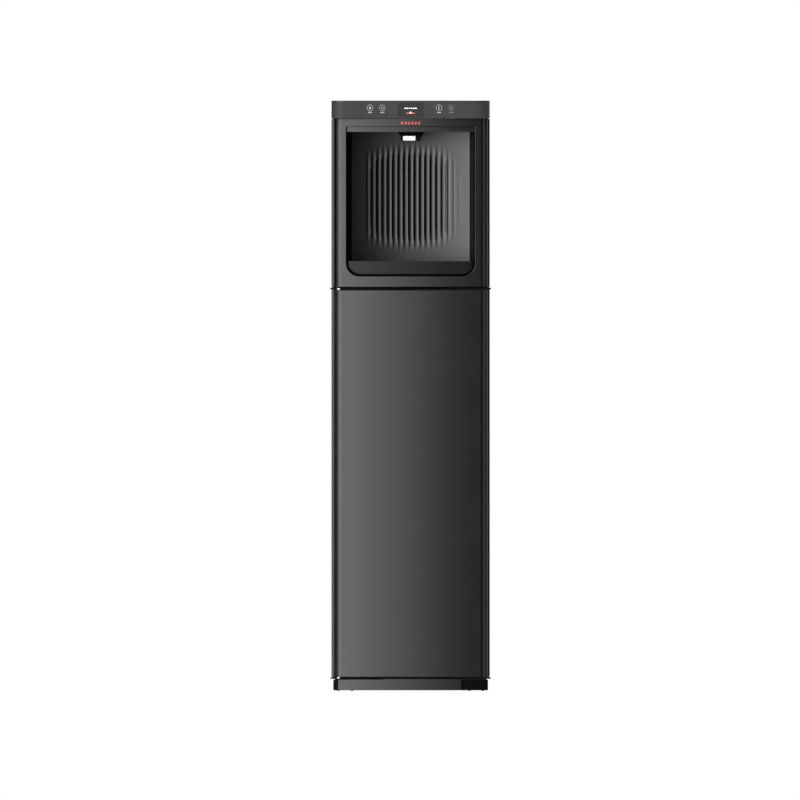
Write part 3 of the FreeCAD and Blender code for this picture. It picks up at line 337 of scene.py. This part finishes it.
def frame_slab(outer, inner, lo, hi, axis="y"):
    """Closed ring between two outlines with the same number of points."""
    put3 = {"y": lambda u, v, w: (u, w, v), "z": lambda u, v, w: (u, v, w), "x": lambda u, v, w: (w, u, v)}[axis]
    n = len(outer)
    v = [put3(a, b, w) for w in (lo, hi) for o in (outer, inner) for a, b in o]
    f = []
    for i in range(n):
        j = (i + 1) % n
        f += [(i, j, n + j, n + i), (2 * n + i, 3 * n + i, 3 * n + j, 2 * n + j), (i, 2 * n + i, 2 * n + j, j), (n + i, n + j, 3 * n + j, 3 * n + i)]
    return v, f


def bent(shell, out=0.0, base=0.0):
    """Moves a shell made at y = base - thickness so that it follows the bowed front."""
    v, f = shell
    return [(x, bow_y(x, out) + (y - base), z) for x, y, z in v], f


def lathe(profile, cx, cy, cz, axis="z", n=48):
    """Solid of revolution. Profile points are (radius, height along the axis); ends on radius 0 close the solid, otherwise the profile is a closed loop."""
    closed = profile[0][0] > 1e-6
    v, f = [], []
    m = len(profile)
    for r, h in profile:
        for i in range(n):
            a = 2 * math.pi * i / n
            c, s = r * math.cos(a), r * math.sin(a)
            v.append({"z": (cx + c, cy + s, cz + h), "y": (cx + c, cy + h, cz + s), "x": (cx + h, cy + c, cz + s)}[axis])
    for k in range(m if closed else m - 1):
        k2 = (k + 1) % m
        for i in range(n):
            j = (i + 1) % n
            a, b, c, d = k * n + i, k * n + j, k2 * n + j, k2 * n + i
            if profile[k][0] < 1e-6:
                f.append((a, c, d))
            elif profile[k2][0] < 1e-6:
                f.append((a, b, c))
            else:
                f.append((a, b, c, d))
    return v, f


def hose(points, radius, bend=12.0, n=12, k=6):
    """Round tube along a path with rounded corners."""
    P = [Vector(p) for p in points]
    path = [P[0]]
    for a, b, c in zip(P, P[1:], P[2:]):
        u, w = (a - b), (c - b)
        t = min(bend, u.length * 0.45, w.length * 0.45)
        s, e = b + u.normalized() * t, b + w.normalized() * t
        for i in range(k + 1):
            q = i / k
            path.append(s.lerp(b, q).lerp(b.lerp(e, q), q))
    path.append(P[-1])
    v, f = [], []
    up = Vector((0, 0, 1)) if abs((path[1] - path[0]).normalized().z) < 0.9 else Vector((1, 0, 0))
    for i, p in enumerate(path):
        d = (path[min(i + 1, len(path) - 1)] - path[max(i - 1, 0)]).normalized()
        up = (up - d * up.dot(d)).normalized()
        side = d.cross(up)
        for j in range(n):
            a = 2 * math.pi * j / n
            v.append(tuple(p + (up * math.cos(a) + side * math.sin(a)) * radius))
    for i in range(len(path) - 1):
        for j in range(n):
            f.append((i * n + j, i * n + (j + 1) % n, (i + 1) * n + (j + 1) % n, (i + 1) * n + j))
    f.append(tuple(range(n - 1, -1, -1)))
    f.append(tuple((len(path) - 1) * n + j for j in range(n)))
    return v, f


# ---------------------------------------------------------------- niche back with its row of scalloped flutes
NICHE_R, NICHE_CY, PANEL_T = 610.0, -652.0, 4.0
Z0P, Z1P = 773.4, 1042.8
FLUTE_X0, PITCH = -84.6, 10.0
# slope of one flute across its width, in degrees: a steep wall that faces right, then a scoop that turns to face left
SLOPE = [(0.0, -41.0), (0.12, -38.0), (0.26, -27.0), (0.42, -7.0), (0.7, 11.0), (1.0, 28.0)]
# the outer flutes are shallower, so that the row fades out at both ends
FLUTE_K = [0.5, 0.8, 0.95] + [1.0] * 9 + [0.96, 0.84, 0.62, 0.36, 0.15, 0.05]


def slope_at(q):
    for (a, u), (b, w) in zip(SLOPE, SLOPE[1:]):
        if q <= b:
            return u + (w - u) * (q - a) / (b - a)
    return SLOPE[-1][1]


PROFILE = [0.0]
for i in range(100):
    PROFILE.append(PROFILE[-1] - math.tan(math.radians(slope_at((i + 0.5) / 100.0))) * PITCH / 100.0)
P_MAX = max(PROFILE)


def flute_depth(x, z):
    q = (x - FLUTE_X0) / PITCH + 1e-6
    j = math.floor(q)
    if not 0 <= j < 18:
        return 0.0
    k = ((FLUTE_X0 + PITCH * (j + 0.5) - 4.0) / 85.0) ** 2
    t = min((z - (816.0 + 13.0 * k)) / 44.0, ((1025.0 - 13.0 * k) - z) / 44.0, 1.0)
    if t <= 0:
        return 0.0
    here = PROFILE[min(100, int(round((q - j) * 100)))]
    grow = t * t * (3 - 2 * t)
    return (0.35 + 0.65 * grow) * max(0.0, here - P_MAX * (1.0 - FLUTE_K[j] * (0.25 * t * (2 - t) + 0.75 * grow)))


cols = [-109.85 + 25.25 * i / 12 for i in range(12)] + [-84.6 + 180.0 * i / 252 for i in range(253)] + [95.4 + 14.45 * (i + 1) / 7 for i in range(7)]
rows = sorted({Z0P, Z1P} | {780.0 + 2.5 * i for i in range(104)})
v, f = [], []
nc, nr = len(cols), len(rows)
for side in (0, 1):
    for z in rows:
        for x in cols:
            y = NICHE_CY + math.sqrt(NICHE_R ** 2 - x * x)
            v.append((x, y + (flute_depth(x, z) if side == 0 else PANEL_T), z))
for side in (0, 1):
    if side == 1:
        continue
    for r in range(nr - 1):
        for c in range(nc - 1):
            a = r * nc + c
            f.append((a, a + 1, a + nc + 1, a + nc))
off = nr * nc
# plain back and edges
back_cols = list(range(0, nc, 8)) + ([nc - 1] if (nc - 1) % 8 else [])
for c0, c1 in zip(back_cols, back_cols[1:]):
    f.append((off + c0, off + (nr - 1) * nc + c0, off + (nr - 1) * nc + c1, off + c1))
for c in range(nc - 1):
    f.append((c, off + c, off + c + 1, c + 1))
    t0 = (nr - 1) * nc
    f.append((t0 + c, t0 + c + 1, off + t0 + c + 1, off + t0 + c))
for r in range(nr - 1):
    f.append((r * nc, (r + 1) * nc, off + (r + 1) * nc, off + r * nc))
    f.append((r * nc + nc - 1, off + r * nc + nc - 1, off + (r + 1) * nc + nc - 1, (r + 1) * nc + nc - 1))
back = piece("scalloped_back_panel", v, f, "back_panel_satin", slot="back_panel_satin", sharp=22.0, weld=False)
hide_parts("ribbed_back_panel")

# ---------------------------------------------------------------- marks on the control panel
PY = -170.0
INK_WHITE = material("ink_white", (0.46, 0.47, 0.48), 0.5, vary=0.04, vary_scale=400, grain=2600, bump=0.08, bump_mm=0.01)
INK_DIM = material("ink_dim_grey", (0.17, 0.17, 0.175), 0.5, vary=0.06, vary_scale=400, grain=2600, bump=0.08, bump_mm=0.01)
INK_RED = material("ink_red", (0.62, 0.03, 0.02), 0.42, vary=0.05, vary_scale=300, grain=2200, bump=0.08, bump_mm=0.01)
# white spacer balls that glow by emission: a painted highlight in place of the hinge pins' highlight
GLOW_HIGHLIGHT_BALL = material("spacer_painted_highlight", (0.85, 0.85, 0.85), 0.35, vary=0.02, vary_scale=300, grain=2200, bump=0.06, bump_mm=0.01, emission=(1, 1, 1), emit=0.35)
# near-black matt material for the plinth end covers: painted shade where the plinth front falls dark at its ends
PAINTED_SHADE_PLINTH_END = material("plinth_end_painted_shade", (0.0012, 0.0012, 0.0012), 0.75, spec=0.06, vary=0.1, vary_scale=200, grain=1500, bump=0.2, bump_mm=0.03)
PLATE_WHITE = material("cartridge_sleeve", (0.74, 0.76, 0.78), 0.42, vary=0.03, vary_scale=80, grain=1500, bump=0.08, bump_mm=0.01)
LED_WHITE = material("display_segments", (0.8, 0.82, 0.85), 0.4, vary=0.03, vary_scale=400, grain=2600, bump=0.05, bump_mm=0.01, emission=(0.9, 0.95, 1.0), emit=0.45)
LED_RED = material("display_red", (0.6, 0.03, 0.02), 0.4, vary=0.03, vary_scale=400, grain=2600, bump=0.05, bump_mm=0.01, emission=(1.0, 0.08, 0.05), emit=0.22)


def drop(cx, cz, r, tall):
    arc = []
    for i in range(19):
        a = math.radians(35 + 290.0 * i / 18)
        arc.append((cx + r * math.sin(a), cz + r * math.cos(a)))
    return [(cx, cz + tall)] + arc


TOUCH = [(-75.6, "drop"), (-52.7, "cup"), (52.7, "gauge"), (75.6, "lock")]
for x, what in TOUCH:
    ink = INK_DIM if x > 70 else INK_WHITE
    F, B = PY - 0.12, PY + 0.05
    bag = Bag()
    bag.add(*frame_slab(circle(x, 1086.9, 5.5, 56), circle(x, 1086.9, 4.95, 56), F, B))
    if what == "drop":
        bag.add(*slab(drop(x, 1086.2, 1.7, 3.3), F, B))
    elif what == "cup":
        bag.add(*slab([(x - 2.2, 1088.9), (x - 1.5, 1084.7), (x + 1.5, 1084.7), (x + 2.2, 1088.9), (x + 1.7, 1088.9), (x + 1.15, 1085.2), (x - 1.15, 1085.2), (x - 1.7, 1088.9)], F, B))
        bag.add(*slab(rrect(x, 1086.7, 2.4, 0.5, 0.2), F, B))
    elif what == "gauge":
        bag.add(*slab(rrect(x, 1087.6, 1.1, 4.0, 0.5), F, B))
        bag.add(*slab(circle(x, 1085.2, 1.3, 28), F, B))
    else:
        bag.add(*slab(rrect(x, 1086.0, 3.6, 2.6, 0.4), F, B))
        outer = [(x + 1.4 * math.cos(math.radians(a)), 1087.4 + 1.7 * math.sin(math.radians(a))) for a in range(0, 181, 15)]
        inner = [(x + 0.9 * math.cos(math.radians(a)), 1087.4 + 1.2 * math.sin(math.radians(a))) for a in range(180, -1, -15)]
        bag.add(*slab(outer + inner, F, B))
    for dx, w in ((-2.0, 2.9), (1.9, 3.1)):
        bag.add(*slab(rrect(x + dx, 1078.0, w, 2.0, 0.6), F, B))
    bag.piece("touch_mark_" + what, ink, sharp=30)

WY = -169.9
bag = Bag()
for dx, w, h in ((-10.2, 3.0, 1.8), (-6.3, 2.9, 2.3), (-2.0, 3.0, 1.7), (2.1, 2.7, 2.2), (6.2, 2.9, 1.8), (10.0, 2.6, 2.1)):
    bag.add(*slab(rrect(dx, 1085.7, w, h, 0.6), WY - 0.1, WY + 0.05))
bag.piece("display_bar_row", LED_WHITE, slot="display_gloss", sharp=30)
lo_arc = [(9.0 * math.cos(math.radians(a)), 1075.8 + 2.6 * math.sin(math.radians(a))) for a in range(12, 169, 6)]
bag = Bag().add(*slab(lo_arc + [(-8.4, 1075.6), (8.4, 1075.6)], WY - 0.1, WY + 0.05))
bag.piece("display_red_segment", LED_RED, slot="display_gloss", sharp=30)
bag = Bag().add(*slab(drop(0.0, 1077.2, 1.4, 3.3), WY - 0.2, WY + 0.02))
bag.piece("display_drop", LED_WHITE, slot="display_gloss", sharp=30)
# thin bezel around the display window
outer, inner = rrect(0, 1083.0, 49.3, 27.0, 0.6), rrect(0, 1083.0, 48.5, 26.2, 0.5)
Bag().add(*frame_slab(outer, inner, WY - 0.06, WY + 0.02)).piece("display_bezel", "control_panel_satin", slot="control_panel_satin", sharp=30)

# generic red accent on the fascia: a row of water drops
bag = Bag()
for i in range(6):
    cx = -16.0 + 6.4 * i
    bag.add(*bent(slab(drop(cx, 1057.7, 2.15, 4.2), -0.12, 0.05), 0.0, 0.0))
bag.piece("fascia_red_drops", INK_RED, sharp=30)

# ---------------------------------------------------------------- hinge spacers: white balls on the pins, seen in the seams; their emission is a painted highlight that stands in for the pins' own highlight
PINX, PINY = -134.3, -148.4


def ball(cx, cy, cz, r, h, m=10):
    return lathe([(0.0, -h)] + [(r * math.cos(math.radians(a)), h * math.sin(math.radians(a))) for a in range(-75, 76, 15)] + [(0.0, h)], cx, cy, cz, "z", 36)


Bag().add(*ball(PINX, PINY, 748.9, 2.75, 2.35)).piece("hinge_spacer_upper", GLOW_HIGHLIGHT_BALL, sharp=60)
Bag().add(*ball(PINX, PINY, 24.5, 2.75, 1.95)).piece("hinge_spacer_lower", GLOW_HIGHLIGHT_BALL, sharp=60)


# ---------------------------------------------------------------- plinth ends: matt black covers that wrap round the corners, painted shade that darkens the plinth's left end and its right part
def plinth_strip(x_from, side):
    r, out = 692.0, 0.3
    cx, cr = 138.4, 5.5
    cy = CROWN_CY - math.sqrt((r - cr) ** 2 - cx * cx)
    a_end = math.asin(cx / (r - cr))
    a0 = math.asin(x_from / r)
    path = []
    for i in range(9):
        a = a0 + (a_end - a0) * i / 8
        path.append(((r + out) * math.sin(a), CROWN_CY - (r + out) * math.cos(a)))
    t0 = math.atan2(-math.cos(a_end), math.sin(a_end))
    for i in range(1, 9):
        t = t0 + (0.0 - t0) * i / 8
        path.append((cx + (cr + out) * math.cos(t), cy + (cr + out) * math.sin(t)))
    path.append((cx + cr + out, -128.0))
    back = [(x - 0.5 * 0.0, y) for x, y in path]
    inner = []
    for i in range(9):
        a = a0 + (a_end - a0) * i / 8
        inner.append(((r - 0.2) * math.sin(a), CROWN_CY - (r - 0.2) * math.cos(a)))
    for i in range(1, 9):
        t = t0 + (0.0 - t0) * i / 8
        inner.append((cx + (cr - 0.2) * math.cos(t), cy + (cr - 0.2) * math.sin(t)))
    inner.append((cx + cr - 0.2, -128.0))
    o = [(side * x, y) for x, y in path + inner[::-1]]
    n = len(path)
    v = [(x, y, z) for z in (1.4, 20.8) for x, y in o]
    m = 2 * n
    f = []
    for i in range(m):
        j = (i + 1) % m
        f.append((i, j, m + j, m + i))
    for i in range(n - 1):
        k = m - 1 - i
        f.append((i, i + 1, k - 1, k))
        f.append((m + i, m + k, m + k - 1, m + i + 1))
    return v, f


Bag().add(*plinth_strip(135.0, -1)).piece("plinth_end_shade_cover_left", PAINTED_SHADE_PLINTH_END, slot="plinth_plastic", bevel=0.0)
Bag().add(*plinth_strip(94.0, 1)).piece("plinth_end_shade_cover_right", PAINTED_SHADE_PLINTH_END, slot="plinth_plastic", bevel=0.0)

# ---------------------------------------------------------------- rear: screw recesses, rating plate, warning triangle, socket surround marks
# near-black material for flat slots that stand for the shade inside screw recesses and vent holes: painted shade
PAINTED_SHADE_RECESS = material("recess_painted_shade", (0.02, 0.02, 0.02), 0.6, metallic=0.6, vary=0.2, vary_scale=500, grain=2600, bump=0.15, bump_mm=0.01)
PLATE_SILVER = material("rating_plate_film", (0.52, 0.53, 0.54), 0.38, metallic=0.4, vary=0.04, vary_scale=90, grain=1500, bump=0.1, bump_mm=0.015)
PRINT_DARK = material("plate_print_dark", (0.03, 0.03, 0.035), 0.55, vary=0.1, vary_scale=300, grain=2200, bump=0.08, bump_mm=0.01)
WARN_YELLOW = material("warning_yellow", (0.75, 0.5, 0.02), 0.45, vary=0.05, vary_scale=200, grain=2000, bump=0.08, bump_mm=0.01)
# the screw recesses are flat crosses of painted shade, laid on the panel instead of cut into it
bag = Bag()
for z in (70.0, 390.0, 705.0, 790.0, 1030.0):
    for x in (-139.0, 139.0):
        a = math.radians(17.0 * (z / 97.0 + x / 60.0))
        for k in range(2):
            c, s = math.cos(a + k * math.pi / 2), math.sin(a + k * math.pi / 2)
            o = [(x + u * c - w * s, z + u * s + w * c) for u, w in ((-1.9, -0.42), (1.9, -0.42), (1.9, 0.42), (-1.9, 0.42))]
            bag.add(*slab(o, 169.6 + 0.01 * k, 170.03 + 0.01 * k))
bag.piece("rear_screw_recesses", PAINTED_SHADE_RECESS, slot="screw_zinc", sharp=30)

RY = 168.5
Bag().add(*slab(rrect(70.0, 340.0, 92.0, 58.0, 3.0), RY - 0.02, RY + 0.16)).piece("rating_plate", PLATE_SILVER, sharp=30)
bag = Bag()
for i, w in enumerate((62, 74, 50, 74, 66, 40, 70)):
    bag.add(*slab(rrect(70.0 - 40 + w / 2, 362.0 - 5.6 * i, w, 1.6, 0.4), RY + 0.1, RY + 0.22))
for i in range(14):
    bag.add(*slab(rrect(34.0 + 2.5 * i, 319.5, 0.7 + 0.5 * ((i * 7) % 3), 8.0, 0.2), RY + 0.1, RY + 0.22))
bag.add(*frame_slab(rrect(100.0, 319.5, 10.0, 10.0, 1.0), rrect(100.0, 319.5, 8.6, 8.6, 0.8), RY + 0.1, RY + 0.22))
bag.piece("rating_plate_lines", PRINT_DARK, sharp=30)
TZ = 100.0
tri = [(-88.0, 218.0 + TZ), (-62.0, 218.0 + TZ), (-75.0, 240.5 + TZ)]
Bag().add(*slab(tri, RY - 0.02, RY + 0.14)).piece("warning_triangle", WARN_YELLOW, sharp=30)
bag = Bag()
inner = [(-84.6, 219.9 + TZ), (-65.4, 219.9 + TZ), (-75.0, 236.6 + TZ)]
outer = [(-87.2, 218.5 + TZ), (-62.8, 218.5 + TZ), (-75.0, 239.6 + TZ)]
bag.add(*frame_slab(outer, inner, RY + 0.1, RY + 0.2))
bag.add(*slab(rrect(-75.0, 328.0, 1.8, 8.0, 0.7), RY + 0.1, RY + 0.2))
bag.add(*slab(circle(-75.0, 321.9, 1.1, 20), RY + 0.1, RY + 0.2))
bag.piece("warning_triangle_print", PRINT_DARK, sharp=30)
# an embossed rib round the service recess on the rear panel
bag = Bag()
bag.add(*frame_slab(rrect(0.0, 85.0, 203.0, 103.0, 6.0), rrect(0.0, 85.0, 197.2, 97.2, 5.0), RY - 0.1, RY + 1.0))
bag.piece("service_recess_rim", "rear_paint", slot="rear_paint", bevel=0.35, segs=2)

# ---------------------------------------------------------------- door side: gasket on the frame and strike plates for the door magnets
bag = Bag()
gx0, gx1, gz0, gz1 = -124.0, 124.0, 44.0, 728.0
bag.add(*frame_slab(rrect(0.0, 386.0, 248.0, 684.0, 12.0), rrect(0.0, 386.0, 240.0, 676.0, 9.0), -140.7, -139.4))
bag.piece("door_seal_strip", "rubber_black", slot="rubber_black", bevel=0.5, segs=3)
# strike plates for the door magnets
bag = Bag()
for z in (160.0, 610.0):
    bag.add(*slab(rrect(129.5, z, 6.2, 38.0, 1.5), -139.9, -139.45))
bag.piece("magnet_strike_plates", "galvanised", slot="galvanised", bevel=0.12)

# ---------------------------------------------------------------- filter cartridges: sleeves, stage bands, grip ribs
BANDS = {
    "sediment_cartridge": (-78.0, material("stage_band_blue", (0.03, 0.16, 0.5), 0.4, vary=0.06, vary_scale=120, grain=1800, bump=0.08, bump_mm=0.01)),
    "carbon_cartridge": (0.0, material("stage_band_charcoal", (0.05, 0.052, 0.055), 0.4, vary=0.1, vary_scale=120, grain=1800, bump=0.08, bump_mm=0.01)),
    "membrane_cartridge": (78.0, material("stage_band_teal", (0.01, 0.32, 0.3), 0.4, vary=0.06, vary_scale=120, grain=1800, bump=0.08, bump_mm=0.01)),
}
CYL_Y = -68.0
for name, (cx, band) in BANDS.items():
    bag = Bag()
    bag.add(*lathe([(32.9, 0.0), (33.22, 0.1), (33.22, 149.9), (32.9, 150.0)], cx, CYL_Y, 470.0, "z", 72))
    bag.piece(name + "_sleeve", PLATE_WHITE, body=name, sharp=30)
    bag = Bag()
    bag.add(*lathe([(33.1, 0.0), (33.34, 0.1), (33.34, 21.9), (33.1, 22.0)], cx, CYL_Y, 592.0, "z", 72))
    bag.add(*lathe([(33.1, 0.0), (33.34, 0.1), (33.34, 5.9), (33.1, 6.0)], cx, CYL_Y, 480.0, "z", 72))
    bag.piece(name + "_band", band, body=name, sharp=30)
    bag = Bag()
    for i in range(30):
        a = 2 * math.pi * i / 30
        c, s = math.cos(a), math.sin(a)
        o = [(cx + u * c - w * s, CYL_Y + u * s + w * c) for u, w in ((32.6, -1.1), (33.9, -0.7), (33.9, 0.7), (32.6, 1.1))]
        bag.add(*slab(o, 392.0, 444.0, "z"))
    bag.add(*lathe([(32.8, 0.0), (34.0, 0.6), (34.0, 2.4), (32.8, 3.0)], cx, CYL_Y, 448.0, "z", 72))
    bag.piece(name + "_grip_ribs", "cartridge_white", body=name, slot="cartridge_white", sharp=35)
    bag = Bag()
    for i, w in enumerate((17, 20, 13, 19)):
        for k in range(6):
            pass
        a0, a1 = -math.pi / 2 - w / 66.0, -math.pi / 2 + w / 66.0
        n = 8
        z = 566.0 - 7.0 * i
        o = [(33.2, 0.0), (33.3, 0.05), (33.3, 1.95), (33.2, 2.0)]
        v, f = [], []
        for j in range(n + 1):
            a = a0 + (a1 - a0) * j / n
            for r, h in o:
                v.append((cx + r * math.cos(a), CYL_Y + r * math.sin(a), z + h))
        for j in range(n):
            for k in range(4):
                k2 = (k + 1) % 4
                f.append((j * 4 + k, j * 4 + k2, (j + 1) * 4 + k2, (j + 1) * 4 + k))
        f.append((0, 1, 2, 3))
        f.append((n * 4, n * 4 + 3, n * 4 + 2, n * 4 + 1))
        bag.add(v, f)
    bag.piece(name + "_sleeve_lines", PRINT_DARK, body=name, sharp=30)

# ---------------------------------------------------------------- storage tank: weld seam, base band
bag = Bag()
bag.add(*lathe([(103.6, -3.0), (104.5, -2.2), (104.9, 0.0), (104.5, 2.2), (103.6, 3.0)], 0.0, 22.0, 150.0, "z", 96))
bag.piece("tank_weld_seam", "tank_paint", slot="tank_paint", sharp=35)
bag = Bag()
bag.add(*lathe([(103.7, 0.0), (104.7, 0.3), (104.7, 13.7), (103.7, 14.0)], 0.0, 22.0, 78.0, "z", 96))
bag.piece("tank_base_band", "rubber_black", slot="rubber_black", sharp=35)

# ---------------------------------------------------------------- water lines and their couplings inside the lower cabinet
HOSES = [
    ("tank_line", [(15.0, 22.0, 279.0), (30.0, 22.0, 279.0), (44.0, 60.0, 288.0), (-25.0, 139.0, 292.0), (-25.0, 139.0, 350.0), (-25.0, 60.0, 560.0), (0.0, 10.0, 640.0), (0.0, -12.0, 700.0), (0.0, -24.0, 716.0)]),
    ("pump_outlet_line", [(108.0, 60.0, 376.0), (108.0, 30.0, 376.0), (116.0, 10.0, 420.0), (112.0, 4.0, 640.0), (96.0, -12.0, 700.0), (90.0, -24.0, 716.0)]),
    ("pump_inlet_line", [(108.0, 60.0, 348.0), (108.0, 40.0, 348.0), (60.0, 20.0, 352.0), (0.0, 72.0, 331.0), (-54.0, 72.0, 331.0)]),
]
for name, pts in HOSES:
    Bag().add(*hose(pts, 3.1, 14.0)).piece(name, "tube_white", slot="tube_white", sharp=60)
bag = Bag()
for x in (0.0, 90.0):
    bag.add(*lathe([(0.0, -24.9), (7.0, -24.9), (7.0, -21.0), (5.2, -20.0), (5.2, -14.0), (0.0, -14.0)], x, 0.0, 716.0, "y", 32))
bag.piece("manifold_couplings", "nylon_white", slot="nylon_white", bevel=0.0, sharp=35)
# pump clamp bands
bag = Bag()
for x in (34.0, 88.0):
    bag.add(*lathe([(28.9, -2.0), (29.7, -1.8), (29.7, 1.8), (28.9, 2.0)], x, 104.0, 362.0, "x", 64))
bag.piece("pump_clamp_bands", "pump_plastic", slot="pump_plastic", sharp=35)
# power supply: rows of ventilation holes shown as flat dark slots of painted shade, not cut through
bag = Bag()
for i in range(9):
    for k in range(3):
        bag.add(*slab(rrect(-118.0 + 8.0 * i, 330.0 + 8.5 * k, 5.0, 2.4, 1.1), -96.12, -95.9))
bag.piece("power_supply_vents", PAINTED_SHADE_RECESS, slot="supply_case", sharp=30)

# ---------------------------------------------------------------- small marks on the rear rocker: a bar and a ring, laid on its tilted face
def on_face(node, shell, start_y, direction, lift):
    """Drops every vertex of a thin shell onto the node's surface along y."""
    from mathutils.bvhtree import BVHTree

    o = nodes[node]
    tree = BVHTree.FromPolygons([o.matrix_world @ vv.co for vv in o.data.vertices], [tuple(pp.vertices) for pp in o.data.polygons])
    v, f = shell
    res = []
    for x, y, z in v:
        hit = tree.ray_cast(Vector((x * MM, start_y * MM, z * MM)), Vector((0, direction, 0)))
        base = hit[0].y / MM if hit[0] is not None else start_y
        res.append((x, base + y * lift, z))
    return res, f


bag = Bag()
bag.add(*on_face("power_rocker", slab(rrect(-12.0, 90.6, 0.9, 4.2, 0.3), -0.15, 0.12), 200.0, -1.0, 1.0))
bag.add(*on_face("power_rocker", frame_slab(circle(-12.0, 79.8, 2.1, 32), circle(-12.0, 79.8, 1.4, 32), -0.15, 0.12), 200.0, -1.0, 1.0))
bag.piece("rocker_marks", INK_WHITE, body="power_rocker", sharp=30)
